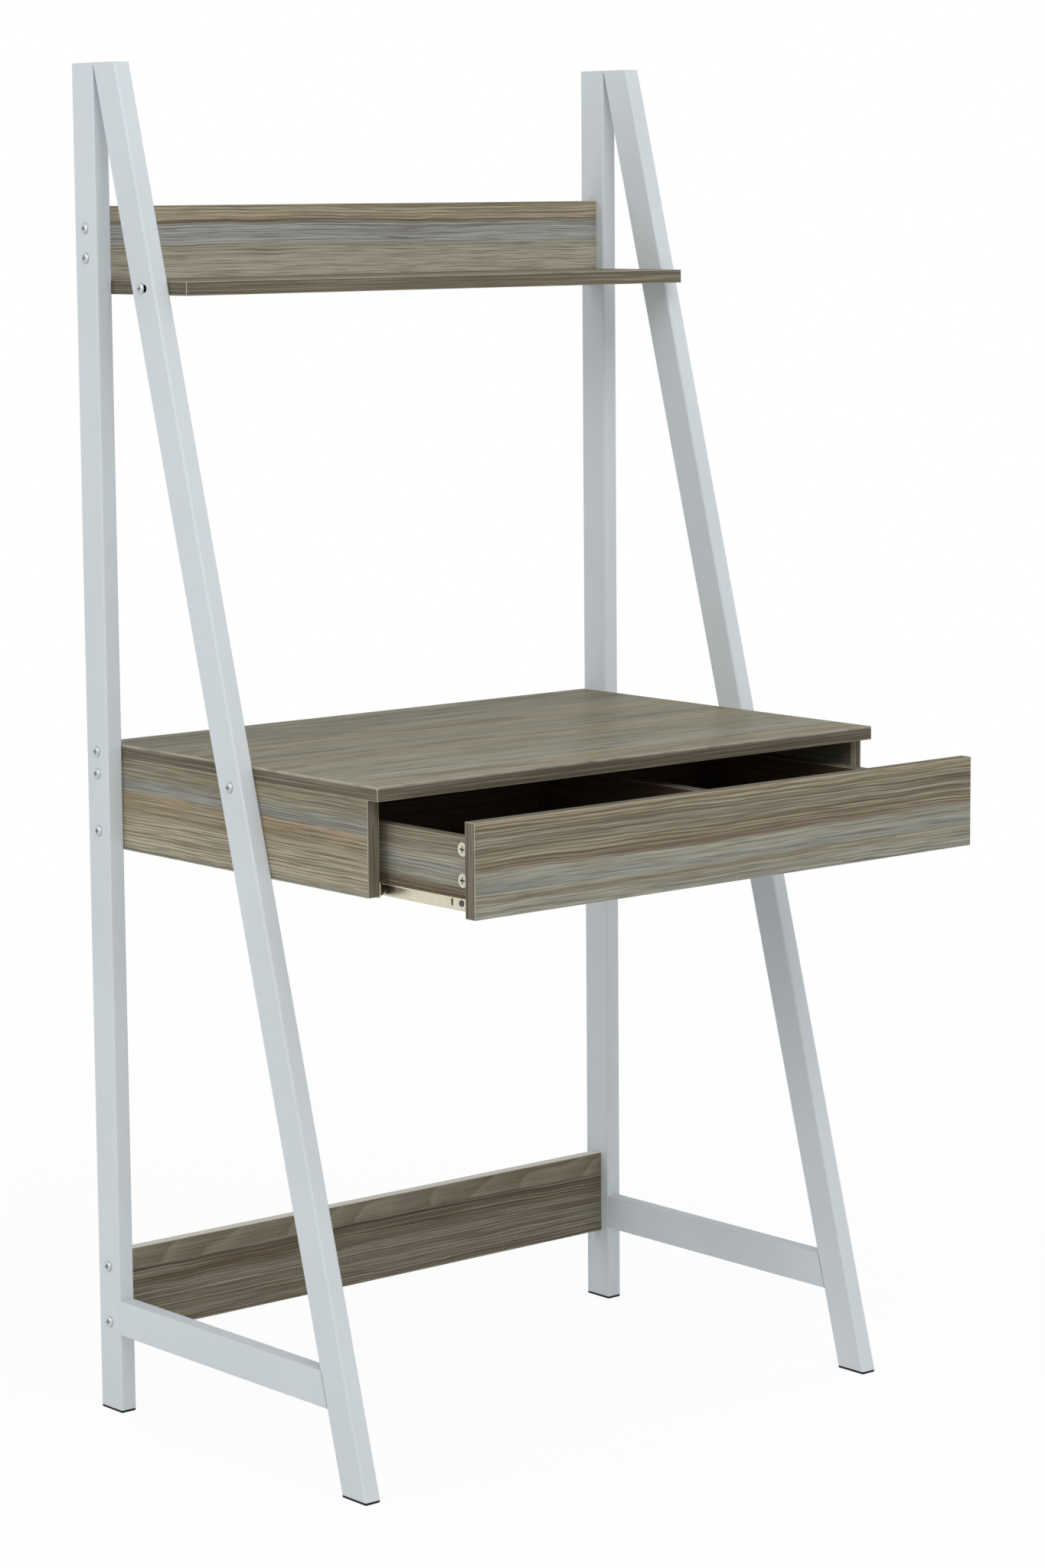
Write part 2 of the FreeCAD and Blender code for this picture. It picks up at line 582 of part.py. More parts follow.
def upright_rail(label, length, height, z, bolts):
    """A rail on edge between the rear legs, bolted at its ends, its barrel nuts let in from behind."""
    body = board(label, length, "sizes.board", height, y=RAIL_REAR, z=z)
    bolted_ends(body, length, [("-sizes.board / 2", bolt) for bolt in bolts])
    nut_holes(body, length, bolts, "XZ_Plane", "0", -1)
    return body


def dowel_holes(body, at, depth, toward, y):
    spots = [(x, y, "sizes.dowel_diameter") for x in DOWELS]
    drill(body, "XY_Plane", spots, at, f"{depth} + sizes.dowel_play", toward)


def shelf_board():
    length = f"2 * {INNER}"
    body = board("shelf_board", length, "sizes.shelf_depth", "sizes.board", y=RAIL_REAR, z=SHELF_BOTTOM)
    bolt = f"({FRONT_LEG_Y} + {SHELF_BOLT_Y} - {RAIL_REAR})"
    bolted_ends(body, length, [(bolt, "sizes.board / 2")])
    nut_holes(body, length, [bolt], "XY_Plane", "0", 1)
    dowel_holes(body, "sizes.board", "sizes.dowel_in_face", -1, "-sizes.board / 2")
    return body


def shelf_back_rail():
    body = upright_rail("shelf_back_rail", f"2 * {INNER}", "sizes.rail_height", "sizes.shelf_level",
                        RAIL_BOLTS)
    dowel_holes(body, "0", DOWEL_IN_EDGE, 1, "-sizes.board / 2")
    return body


def low_stretcher():
    return upright_rail("low_stretcher", f"2 * {INNER}", "sizes.back_height", "sizes.stretcher_level",
                        BACK_BOLTS)


def desk_back_panel():
    body = upright_rail("desk_back_panel", f"2 * {CABINET_INNER}", "sizes.back_height", BACK_BOTTOM,
                        BACK_BOLTS)
    dowel_holes(body, "sizes.back_height", DOWEL_IN_EDGE, -1, "-sizes.board / 2")
    return body


def desk_top():
    length = f"2 * {INNER}"
    body = board("desk_top", length, "sizes.desk_depth", "sizes.board", y=REAR, z=TOP_UNDER)
    bolt = "(-sizes.tube_depth / 2)"
    bolted_ends(body, length, [(bolt, "sizes.board / 2")])
    nut_holes(body, length, [bolt], "XY_Plane", "0", 1)
    dowel_holes(body, "0", "sizes.dowel_in_face", 1, bolt)
    pins = [(f"{side} * ({INNER} - sizes.board / 2)", y, "sizes.cam_pin_diameter")
            for side in (-1, 1) for y in TOP_CAMS]
    drill(body, "XY_Plane", pins, "0", "sizes.cam_pin_anchor", 1)
    return body


def pin_holes(body, role, spots, at, toward):
    """Holes that lead a cam pin from the edge of a board to its cam."""
    wide = "sizes.cam_pin_diameter + 2 * sizes.cam_pin_play"
    holes = [(across, up, wide) for across, up in spots]
    drill(body, role, holes, at, "sizes.cam_setback + sizes.cam_pin_end + sizes.cam_pin_play", toward)


def desk_side():
    """Left side of the drawer cabinet. Its outer face is at x = -board / 2 in its own frame."""
    middle = f"(-{INNER} + sizes.board / 2)"
    depth = f"({REAR} - {SIDE_FRONT})"
    body = board("desk_side_left", "sizes.board", depth, "sizes.side_height", middle, REAR, SIDE_BOTTOM)
    outer, inner = "-sizes.board / 2", "sizes.board / 2"
    back = f"({BACK_BOTTOM} - {SIDE_BOTTOM})"
    through = [("-sizes.tube_depth / 2", f"{back} + {bolt}", "sizes.bolt_hole") for bolt in BACK_BOLTS]
    drill(body, "YZ_Plane", through, outer, "sizes.board", 1)
    insert = [(f"({SIDE_BOLT_Y} - sizes.tube_depth)", "(sizes.side_height - sizes.side_bolt_drop)",
               "sizes.insert_diameter")]
    drill(body, "YZ_Plane", insert, outer, "sizes.insert_length", 1)
    cam_level = "(sizes.side_height - sizes.cam_setback)"
    drill(body, "YZ_Plane", [(y, cam_level, "sizes.cam_diameter") for y in TOP_CAMS], inner,
          "sizes.cam_depth", -1)
    pin_holes(body, "XY_Plane", [("0", y) for y in TOP_CAMS], "sizes.side_height", -1)
    front = f"(-{depth} + sizes.runner_setback)"
    level = f"({FRONT_BOTTOM} - {SIDE_BOTTOM} + {DRAWER_AXLE})"
    screws = [(f"({front} + {along})", level, "sizes.screw_diameter") for along in RUNNER_SCREWS]
    drill(body, "YZ_Plane", screws, inner, "sizes.screw_length", -1)
    return body


# ------------------------------------------------------------------------------------------- drawer
GROOVE = "(sizes.bottom_sheet + sizes.groove_slack)"


def groove(body, across_low, across_high, role, at, length, toward):
    """A long groove for the drawer bottom; across is measured on the plane that the groove runs along."""
    sketch = new_sketch(body, role, at)
    low, high = "sizes.groove_level", f"(sizes.groove_level + {GROOVE})"
    draw_polygon(sketch, [(across_low, low), (across_high, low), (across_high, high), (across_low, high)])
    extrude(body, "Pocket", sketch, length, toward)


def drawer_front():
    body = board("drawer_front", f"2 * {INNER}", "sizes.board", "sizes.front_height",
                 y=BOX_FRONT, z=FRONT_BOTTOM)
    lift = f"({BOX_BOTTOM} - {FRONT_BOTTOM})"
    middle = f"({BOX_OUTER} - sizes.board / 2)"
    pins = [(f"{side} * {middle}", f"{lift} + {cam}", "sizes.cam_pin_diameter")
            for side in (-1, 1) for cam in DRAWER_CAMS]
    drill(body, "XZ_Plane", pins, "0", "sizes.cam_pin_anchor", -1)
    dowels = [("sizes.divider_offset", f"{lift} + {level}", "sizes.dowel_diameter")
              for level in DIVIDER_DOWELS]
    drill(body, "XZ_Plane", dowels, "0", "sizes.dowel_in_face + sizes.dowel_play", -1)
    sketch = new_sketch(body, "XZ_Plane", "0")
    low = f"({lift} + sizes.groove_level)"
    high = f"({low} + {GROOVE})"
    reach = f"({BOX_INNER} + sizes.groove_depth)"
    draw_polygon(sketch, [(f"-{reach}", low), (reach, low), (reach, high), (f"-{reach}", high)])
    extrude(body, "Pocket", sketch, "sizes.groove_depth", -1)
    return body


def drawer_side():
    """Left side of the drawer box. Its outer face is at x = -board / 2 in its own frame."""
    middle = f"(-{BOX_OUTER} + sizes.board / 2)"
    body = board("drawer_side_left", "sizes.board", "sizes.box_length", "sizes.box_height",
                 middle, BOX_REAR, BOX_BOTTOM)
    outer, inner = "-sizes.board / 2", "sizes.board / 2"
    cam_y = "(-sizes.box_length + sizes.cam_setback)"
    drill(body, "YZ_Plane", [(cam_y, cam, "sizes.cam_diameter") for cam in DRAWER_CAMS], outer,
          "sizes.cam_depth", 1)
    pin_holes(body, "XZ_Plane", [("0", cam) for cam in DRAWER_CAMS], "-sizes.box_length", 1)
    screws = [("-sizes.board / 2", level, "sizes.back_screw_diameter") for level in BACK_SCREWS]
    drill(body, "YZ_Plane", screws, outer, "sizes.board", 1)
    sinks = [("-sizes.board / 2", level, "sizes.back_screw_head_diameter") for level in BACK_SCREWS]
    drill(body, "YZ_Plane", sinks, outer, BACK_SCREW_HEAD, 1)
    level = "(sizes.drawer_screw_level - sizes.runner_sheet)"
    runner = [(f"(-sizes.box_length + {along} + sizes.drawer_runner_play)", level, "sizes.screw_diameter")
              for along in RUNNER_SCREWS]
    drill(body, "YZ_Plane", runner, outer, "sizes.screw_length", 1)
    groove(body, inner, f"{inner} - sizes.groove_depth", "XZ_Plane", "0", "sizes.box_length", -1)
    return body


BACK_SCREW_HEAD = "(sizes.back_screw_head_diameter - sizes.back_screw_diameter) / 2"
BACK_HOLE = "(sizes.back_screw_length - sizes.board)"
DIVIDER_FOOT = "(sizes.groove_level + sizes.bottom_sheet)"
DIVIDER_HEIGHT = f"(sizes.box_height - {DIVIDER_FOOT})"
DIVIDER_DOWELS = [f"({DIVIDER_FOOT} + {DIVIDER_HEIGHT} * {share} / 4)" for share in (1, 3)]


def drawer_back():
    length = f"2 * {BOX_INNER}"
    body = board("drawer_back", length, "sizes.board", "sizes.box_height", y=BOX_REAR, z=BOX_BOTTOM)
    holes = [("-sizes.board / 2", level, "sizes.back_screw_diameter") for level in BACK_SCREWS]
    end = drill(body, "YZ_Plane", holes, f"-{BOX_INNER}", BACK_HOLE, 1)
    both_ends(body, end)
    dowels = [("sizes.divider_offset", level, "sizes.dowel_diameter") for level in DIVIDER_DOWELS]
    drill(body, "XZ_Plane", dowels, "-sizes.board", "sizes.dowel_in_face + sizes.dowel_play", 1)
    groove(body, "-sizes.board", "-sizes.board + sizes.groove_depth", "YZ_Plane", f"-{BOX_INNER}",
           length, 1)
    return body


def drawer_divider():
    body = board("drawer_divider", "sizes.board", "(sizes.box_length - sizes.board)", DIVIDER_HEIGHT,
                 "sizes.divider_offset", f"({BOX_REAR} - sizes.board)", f"({BOX_BOTTOM} + {DIVIDER_FOOT})")
    spots = [("0", f"({level} - {DIVIDER_FOOT})", "sizes.dowel_diameter") for level in DIVIDER_DOWELS]
    depth = f"{DOWEL_IN_EDGE} + sizes.dowel_play"
    drill(body, "XZ_Plane", spots, "0", depth, -1)
    drill(body, "XZ_Plane", spots, "-(sizes.box_length - sizes.board)", depth, 1)
    return body


def drawer_bottom():
    body = new_body("drawer_bottom", "0", BOX_FRONT, f"({BOX_BOTTOM} + sizes.groove_level)")
    sketch = new_sketch(body, "XY_Plane")
    lip = "(sizes.groove_depth - sizes.groove_play)"
    half = f"({BOX_INNER} + {lip})"
    far = f"(sizes.box_length - sizes.board + {lip})"
    draw_polygon(sketch, [(f"-{half}", f"-{lip}"), (half, f"-{lip}"), (half, far), (f"-{half}", far)])
    extrude(body, "Pad", sketch, "sizes.bottom_sheet", 1)
    return body


# ------------------------------------------------------------------------------------ drawer slides
def bent_sheet(body, corners, length):
    """A folded steel profile along Y, from y = 0 to y = length, with rounded outer bends."""
    sketch = new_sketch(body, "XZ_Plane")
    draw_polygon(sketch, corners)
    return extrude(body, "Pad", sketch, length, 1)


def notch(body, low_x, high_x, low_z, high_z, start, length):
    """Cuts a box out of a profile, from y = start over a length."""
    sketch = new_sketch(body, "XZ_Plane", start)
    draw_polygon(sketch, [(low_x, low_z), (high_x, low_z), (high_x, high_z), (low_x, high_z)])
    extrude(body, "Pocket", sketch, length, 1)


RUNNER_Y = f"({SIDE_FRONT} + sizes.runner_setback)"
DRAWER_RUNNER_Y = f"({BOX_FRONT} + sizes.drawer_runner_play)"
DRAWER_RUNNER_LENGTH = "(sizes.box_length - sizes.drawer_runner_play)"
WEB = "sizes.runner_sheet"


def cabinet_runner():
    """Channel on the cabinet side. Its web lies on the cabinet side at x = 0 and it opens toward +X."""
    body = new_body("cabinet_runner_left", f"-{CABINET_INNER}", RUNNER_Y, FRONT_BOTTOM)
    low, high, lip = "sizes.channel_rise", CHANNEL_TOP, "sizes.channel_width"
    profile = bent_sheet(body, [
        ("0", low), (lip, low), (lip, f"{low} + {WEB}"), (WEB, f"{low} + {WEB}"), (WEB, f"{high} - {WEB}"),
        (lip, f"{high} - {WEB}"), (lip, high), ("0", high)], "sizes.runner_length")
    bends = straight_edges(profile, (0, 1, 0), lambda middle: middle.x < CLOSE)
    dress(body, "Fillet", profile, bends, "sizes.runner_bend")
    notch(body, WEB, lip, low, f"{low} + {WEB}", "0", "sizes.roller_notch")
    ear = new_sketch(body, "YZ_Plane", "0")
    draw_polygon(ear, [("0", f"{low} + {WEB}"), ("0", f"{low} - sizes.runner_ear / 2"),
                       ("sizes.runner_ear", f"{low} - sizes.runner_ear"),
                       ("sizes.roller_inset", f"{low} - sizes.runner_ear"),
                       ("sizes.roller_notch", low), ("sizes.roller_notch", f"{low} + {WEB}")])
    extrude(body, "Pad", ear, WEB, 1)
    screws = [(along, DRAWER_AXLE, "sizes.screw_diameter") for along in RUNNER_SCREWS]
    pin = [("sizes.roller_inset", CABINET_AXLE, "sizes.pin_diameter")]
    drill(body, "YZ_Plane", screws + pin, "0", WEB, 1)
    return body


def drawer_runner():
    """Angle on the drawer side: a shelf under the side, a web on it, and a track that leans outward."""
    body = new_body("drawer_runner_left", f"-{BOX_OUTER}", DRAWER_RUNNER_Y, FRONT_BOTTOM)
    high, track, shelf = "sizes.drawer_runner_height", "sizes.track_width", "sizes.drawer_shelf"
    profile = bent_sheet(body, [
        (f"-{WEB}", "0"), (shelf, "0"), (shelf, WEB), ("0", WEB), ("0", high), (f"-{WEB} - {track}", high),
        (f"-{WEB} - {track}", f"{high} - {WEB}"), (f"-{WEB}", f"{high} - {WEB}")], DRAWER_RUNNER_LENGTH)
    rim = float(sheet.evalExpression(high))
    bends = straight_edges(profile, (0, 1, 0), lambda middle: (
        (middle.z < CLOSE and middle.x < 0) or (middle.z > rim - CLOSE and abs(middle.x) < CLOSE)))
    dress(body, "Fillet", profile, bends, "sizes.runner_bend")
    notch(body, f"-{WEB} - {track}", f"-{WEB}", f"{high} - {WEB}", high,
          f"{DRAWER_RUNNER_LENGTH} - sizes.roller_notch", "sizes.roller_notch")
    level = "sizes.drawer_screw_level"
    screws = [(along, level, "sizes.screw_diameter") for along in RUNNER_SCREWS]
    pin = [(f"{DRAWER_RUNNER_LENGTH} - sizes.roller_inset", DRAWER_AXLE, "sizes.pin_diameter")]
    drill(body, "YZ_Plane", screws + pin, f"-{WEB}", WEB, 1)
    slots = new_sketch(body, "YZ_Plane", f"-{WEB}")
    for along in RUNNER_SCREWS:
        draw_slot(slots, f"({along} + sizes.slot_spacing)", level, "sizes.slot_length",
                  "sizes.slot_width", upright=True)
    extrude(body, "Pocket", slots, WEB, 1)
    return body


CABINET_ROLLER = (f"(-{CABINET_INNER} + {WEB} + sizes.roller_side_play)",
                  f"({RUNNER_Y} + sizes.roller_inset)", f"({FRONT_BOTTOM} + {CABINET_AXLE})")
DRAWER_ROLLER = (f"(-{BOX_OUTER} - {WEB} - sizes.roller_side_play - sizes.roller_width)",
                 f"({BOX_REAR} - sizes.roller_inset)", f"({FRONT_BOTTOM} + {DRAWER_AXLE})")


def roller(label, spot):
    """A moulded wheel turned about X, with a ring sunk into each face between its hub and its rim."""
    body = new_body(label, *spot)
    sketch = new_sketch(body, "XY_Plane")
    bore, hub = "sizes.pin_diameter / 2 + sizes.pin_play", "sizes.hub_diameter / 2"
    rim, outer = "sizes.roller_diameter / 2 - sizes.rim_wall", "sizes.roller_diameter / 2"
    shoulder, width = f"{outer} - sizes.roller_bevel", "sizes.roller_width"
    deep, far = "sizes.roller_groove", "(sizes.roller_width - sizes.roller_groove)"
    draw_polygon(sketch, [
        ("0", bore), ("0", hub), (deep, hub), (deep, rim), ("0", rim), ("0", shoulder),
        ("sizes.roller_bevel", outer), (f"{width} - sizes.roller_bevel", outer), (width, shoulder),
        (width, rim), (far, rim), (far, hub), (width, hub), (width, bore)])
    turning = body.newObject("PartDesign::Revolution", label + "_turning")
    turning.Profile = sketch
    turning.ReferenceAxis = (sketch, ["H_Axis"])
    turning.Angle = 360
    turning.Refine = False
    return body


def roller_pin():
    """Riveted pin, pointing +Z from the outside of its web to the head beyond the roller."""
    shank = f"({WEB} + sizes.roller_side_play + sizes.roller_width + sizes.pin_play)"
    radius, head = "sizes.pin_diameter / 2", "sizes.pin_head_diameter / 2"
    return turned_pin("roller_pin", [
        (radius, "0"), (radius, shank), (head, shank), (head, f"{shank} + sizes.pin_head")])


# ---------------------------------------------------------------------------------------- fasteners
def bolt(label, reach):
    """Furniture bolt with a domed head below z = 0 and its shank toward +Z."""
    body = new_body(label)
    head = new_sketch(body, "XY_Plane")
    draw_circle(head, "0", "0", "sizes.bolt_head_diameter")
    disc = extrude(body, "Pad", head, "sizes.bolt_head", -1)
    dress(body, "Fillet", disc, low_edges(disc, -CLOSE), "sizes.bolt_head_round")
    shank = new_sketch(body, "XY_Plane")
    draw_circle(shank, "0", "0", "sizes.bolt_diameter")
    extrude(body, "Pad", shank, reach, 1)
    cross_recess(body, "sizes.bolt_head_diameter", "-sizes.bolt_head", "sizes.recess_depth")
    return body


def barrel_nut():
    """Cross nut along Z, its threaded hole across X, with a driver slot in its lower end."""
    body = new_body("barrel_nut")
    sketch = new_sketch(body, "XY_Plane")
    draw_circle(sketch, "0", "0", "sizes.nut_diameter")
    extrude(body, "Pad", sketch, "sizes.nut_length")
    drill(body, "YZ_Plane", [("0", "0", "sizes.bolt_diameter")], "0", "sizes.nut_diameter", 0)
    slot = new_sketch(body, "XY_Plane", "-sizes.nut_length / 2")
    side, reach = "sizes.nut_slot / 2", "sizes.nut_diameter / 2"
    draw_polygon(slot, [
        (f"-{reach}", f"-{side}"), (reach, f"-{side}"), (reach, side), (f"-{reach}", side)])
    extrude(body, "Pocket", slot, "sizes.nut_slot", 1)
    return body


def side_insert():
    """Threaded insert, flush with the board at z = 0 and toward +Z."""
    body = new_body("side_insert")
    sketch = new_sketch(body, "XY_Plane")
    draw_circle(sketch, "0", "0", "sizes.insert_diameter")
    draw_circle(sketch, "0", "0", "sizes.bolt_diameter")
    extrude(body, "Pad", sketch, "sizes.insert_length", 1)
    return body


def cam():
    """Cam lock, its driver face at z = 0 and its body toward +Z; the pin enters it from -Y."""
    body = new_body("cam")
    sketch = new_sketch(body, "XY_Plane")
    draw_circle(sketch, "0", "0", "sizes.cam_diameter")
    disc = extrude(body, "Pad", sketch, "sizes.cam_depth", 1)
    dress(body, "Fillet", disc, low_edges(disc, CLOSE), "sizes.cam_rim")
    cross_recess(body, "sizes.cam_diameter", "0", "sizes.recess_depth")
    wide = "sizes.cam_pin_diameter + 2 * sizes.cam_pin_play"
    drill(body, "XZ_Plane", [("0", "sizes.board / 2", wide)], "-sizes.cam_diameter / 2",
          "sizes.cam_diameter / 2 + sizes.cam_pin_end + sizes.cam_pin_play", 1)
    return body


def cam_pin():
    """Pin from the depths of the other board at z = 0 to its neck and head inside the cam."""
    end = "(sizes.cam_pin_anchor + sizes.cam_setback + sizes.cam_pin_end)"
    radius, neck = "sizes.cam_pin_diameter / 2", "sizes.cam_pin_diameter / 4"
    return turned_pin("cam_pin", [
        (radius, "0"), (radius, f"{end} - 2.5 * {radius}"), (neck, f"{end} - 2 * {radius}"),
        (neck, f"{end} - {radius}"), (radius, f"{end} - {neck}"), (radius, end)])


def runner_screw():
    radius, head = "sizes.screw_diameter / 2", "sizes.screw_head_diameter / 2"
    body = turned_pin("runner_screw", [
        (f"{head} - sizes.screw_head / 2", "-sizes.screw_head"), (head, "-sizes.screw_head / 2"),
        (head, "0"), (radius, "0"), (radius, f"sizes.screw_length - {radius}"),
        ("sizes.screw_tip", "sizes.screw_length")])
    cross_recess(body, "sizes.screw_head_diameter", "-sizes.screw_head", "sizes.screw_head / 2")
    return body


def back_screw():
    """Countersunk screw, its head flush at z = 0."""
    radius, head = "sizes.back_screw_diameter / 2", "sizes.back_screw_head_diameter / 2"
    body = turned_pin("back_screw", [
        (head, "0"), (radius, BACK_SCREW_HEAD), (radius, f"sizes.back_screw_length - 2 * {radius}"),
        ("sizes.screw_tip", "sizes.back_screw_length")])
    cross_recess(body, "sizes.back_screw_head_diameter", "0", "sizes.recess_depth")
    return body


def dowel():
    radius = "sizes.dowel_diameter / 2"
    return turned_pin("dowel", [
        (f"{radius} - sizes.dowel_bevel", "0"), (radius, "sizes.dowel_bevel"),
        (radius, "sizes.dowel_length - sizes.dowel_bevel"),
        (f"{radius} - sizes.dowel_bevel", "sizes.dowel_length")])


def frame_fasteners():
    """Bolts, barrel nuts and inserts that hold the boards between the legs."""
    deep = f"(-{INNER} + sizes.nut_inset)"
    back_deep = f"(-{CABINET_INNER} + sizes.nut_inset)"
    nut_front = f"({RAIL_REAR} - {NUT_HOLE} + sizes.nut_length / 2)"
    shelf_y = f"({FRONT_LEG_Y} + {SHELF_BOLT_Y})"
    desk_z = "(sizes.top_level - sizes.board / 2)"
    rail = [f"(sizes.shelf_level + {level})" for level in RAIL_BOLTS]
    stretcher = [f"(sizes.stretcher_level + {level})" for level in BACK_BOLTS]
    back = [f"({BACK_BOTTOM} + {level})" for level in BACK_BOLTS]
    lying = f"{NUT_HOLE} - sizes.nut_length / 2"

    master = bolt("board_bolt", "sizes.tube_width + sizes.bolt_reach")
    spots = [(f"-{OUTER}", REAR_BOLT, level, "+X") for level in rail + stretcher + [desk_z]]
    spots.append((f"-{OUTER}", shelf_y, SHELF_BOLT_Z, "+X"))
    yield group("frame_bolts", master, spots)

    master = bolt("long_bolt", "sizes.tube_width + sizes.board + sizes.bolt_reach")
    yield group("desk_back_bolts", master, [(f"-{OUTER}", REAR_BOLT, level, "+X") for level in back])

    master = bolt("short_bolt", "sizes.tube_width + sizes.insert_length")
    side_spot = (f"-{OUTER}", f"({FRONT_LEG_Y} + {SIDE_BOLT_Y})", SIDE_BOLT_Z, "+X")
    yield group("desk_side_bolts", master, [side_spot])

    spots = [(deep, nut_front, level, "-Y") for level in rail + stretcher]
    spots += [(back_deep, nut_front, level, "-Y") for level in back]
    spots.append((deep, REAR_BOLT, f"({TOP_UNDER} + {lying})", "+Z"))
    spots.append((deep, shelf_y, f"({SHELF_BOTTOM} + {lying})", "+Z"))
    yield group("barrel_nuts", barrel_nut(), spots)

    insert_spot = (f"-{INNER}",) + side_spot[1:]
    yield group("desk_side_inserts", side_insert(), [insert_spot])


def upright_cams(label, spots):
    """Cams whose pins come from above: the cam is turned so that its -Y side faces up."""
    node = group(label, cam_master, [(x, y, z, "-X") for x, y, z in spots])
    roll = FreeCAD.Rotation(FreeCAD.Vector(1, 0, 0), -90)
    for copy in node.Links:
        copy.Placement = FreeCAD.Placement(copy.Placement.Base, roll.multiply(copy.Placement.Rotation))
    return node


def joinery():
    """Cam locks, cam pins, screws and dowels of the cabinet, shelf and drawer."""
    cam_x = f"(-{CABINET_INNER})"
    cam_z = f"({TOP_UNDER} - sizes.cam_setback)"
    top_y = [f"({REAR} + {y})" for y in TOP_CAMS]
    yield upright_cams("desk_top_cams", [(cam_x, y, cam_z) for y in top_y])
    pin_x = f"(-{INNER} + sizes.board / 2)"
    pin_z = f"({TOP_UNDER} + sizes.cam_pin_anchor)"
    pins = cam_pin()
    yield group("desk_top_cam_pins", pins, [(pin_x, y, pin_z, "-Z") for y in top_y])

    levels = [f"({BOX_BOTTOM} + {level})" for level in DRAWER_CAMS]
    yield group("drawer_cams", cam_master, [
        (f"-{BOX_OUTER}", f"({BOX_FRONT} + sizes.cam_setback)", level, "+X") for level in levels])
    yield group("drawer_cam_pins", pins, [
        (f"(-{BOX_OUTER} + sizes.board / 2)", f"({BOX_FRONT} - sizes.cam_pin_anchor)", level, "+Y")
        for level in levels])

    yield group("drawer_back_screws", back_screw(), [
        (f"-{BOX_OUTER}", f"({BOX_REAR} - sizes.board / 2)", f"({BOX_BOTTOM} + {level})", "+X")
        for level in BACK_SCREWS])

    screw = runner_screw()
    web_x, level = f"(-{CABINET_INNER} + {WEB})", f"({FRONT_BOTTOM} + {DRAWER_AXLE})"
    yield group("cabinet_runner_screws", screw, [
        (web_x, f"({RUNNER_Y} + {along})", level, "-X") for along in RUNNER_SCREWS])
    web_x, level = f"(-{BOX_OUTER} - {WEB})", f"({FRONT_BOTTOM} + sizes.drawer_screw_level)"
    yield group("drawer_runner_screws", screw, [
        (web_x, f"({DRAWER_RUNNER_Y} + {along})", level, "+X") for along in RUNNER_SCREWS])

    peg = dowel()
    level = "(sizes.shelf_level - sizes.dowel_in_face)"
    yield group("shelf_rail_dowels", peg, [(x, REAR_BOLT, level, "+Z") for x in DOWELS], two_sided=False)
    level = f"({TOP_UNDER} + sizes.dowel_in_face)"
    yield group("desk_back_dowels", peg, [(x, REAR_BOLT, level, "-Z") for x in DOWELS], two_sided=False)
    ends = ((f"({BOX_FRONT} - sizes.dowel_in_face)", "+Y"),
            (f"({BOX_REAR} - sizes.board + sizes.dowel_in_face)", "-Y"))
    yield group("divider_dowels", peg, [
        ("sizes.divider_offset", y, f"({BOX_BOTTOM} + {level})", way)
        for y, way in ends for level in DIVIDER_DOWELS], two_sided=False)


def roller_pins():
    master = roller_pin()
    x, y, z = CABINET_ROLLER
    yield group("cabinet_roller_pins", master, [(f"-{CABINET_INNER}", y, z, "+X")])
    x, y, z = DRAWER_ROLLER
    yield group("drawer_roller_pins", master, [(f"-{BOX_OUTER}", y, z, "-X")])


# ----------------------------------------------------------------------------------------- assembly
left_pieces = [
    rear_leg(), front_leg(), crossbar(), top_plate(),
    foot("rear_foot_left", "0", REAR), foot("front_foot_left", LEAN, FRONT_LEG_Y),
    desk_side(), cabinet_runner(), roller("cabinet_roller_left", CABINET_ROLLER),
    drawer_side(), drawer_runner(), roller("drawer_roller_left", DRAWER_ROLLER),
]
right_pieces = [mirrored(piece.Label.replace("_left", "_right"), piece) for piece in left_pieces]
cam_master = cam()
nodes = left_pieces + right_pieces + [
    shelf_board(), shelf_back_rail(), desk_top(), desk_back_panel(), low_stretcher(),
    drawer_front(), drawer_back(), drawer_divider(), drawer_bottom(),
]
nodes += list(frame_fasteners()) + list(joinery()) + list(roller_pins())
doc.recompute()

for item in doc.Objects:
    if "Invalid" in item.State or "Error" in item.State:
        raise RuntimeError(f"{item.Label} failed: {item.State}")
for node in nodes:
    if node.Shape.isNull() or not node.Shape.isValid():
        raise RuntimeError(f"{node.Label} has no valid shape")

os.makedirs("parts", exist_ok=True)
for node in nodes:
    node.Shape.exportStep(os.path.join("parts", node.Label + ".step"))
    print(f"{node.Label}: {len(node.Shape.Solids)} solid(s), {node.Shape.Volume:.0f} mm3")
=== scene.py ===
"""Ladder desk with its drawer open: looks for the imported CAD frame.

Metres. +X is the desk's right, the user sits at -Y, +Z is up, and the floor is z = 0.
"""

import math

import bpy
from mathutils import Matrix, Vector

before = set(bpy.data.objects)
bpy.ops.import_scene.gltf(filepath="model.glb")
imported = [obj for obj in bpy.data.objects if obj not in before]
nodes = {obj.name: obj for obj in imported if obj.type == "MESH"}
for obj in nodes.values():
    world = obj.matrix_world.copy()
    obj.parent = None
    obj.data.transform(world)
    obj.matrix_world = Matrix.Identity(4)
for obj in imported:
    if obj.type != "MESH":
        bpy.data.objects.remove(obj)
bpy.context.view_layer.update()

AXES = {"X": 0, "Y": 1, "Z": 2}


# ---------------------------------------------------------------------------------------- colours
def colour(red, green, blue):
    """A display colour, 0 to 255, as the linear colour that shaders take (the sRGB curve)."""
    linear = []
    for value in (red, green, blue):
        share = value / 255
        linear.append(share / 12.92 if share <= 0.04045 else ((share + 0.055) / 1.055) ** 2.4)
    return (*linear, 1.0)


def grey(value):
    """A linear grey."""
    return (value, value, value, 1.0)


def rescaled(tint, factor, lift=0.0):
    """A tint made darker or brighter."""
    return tuple(min(1.0, factor * value + lift) for value in tint[:3]) + (1.0,)


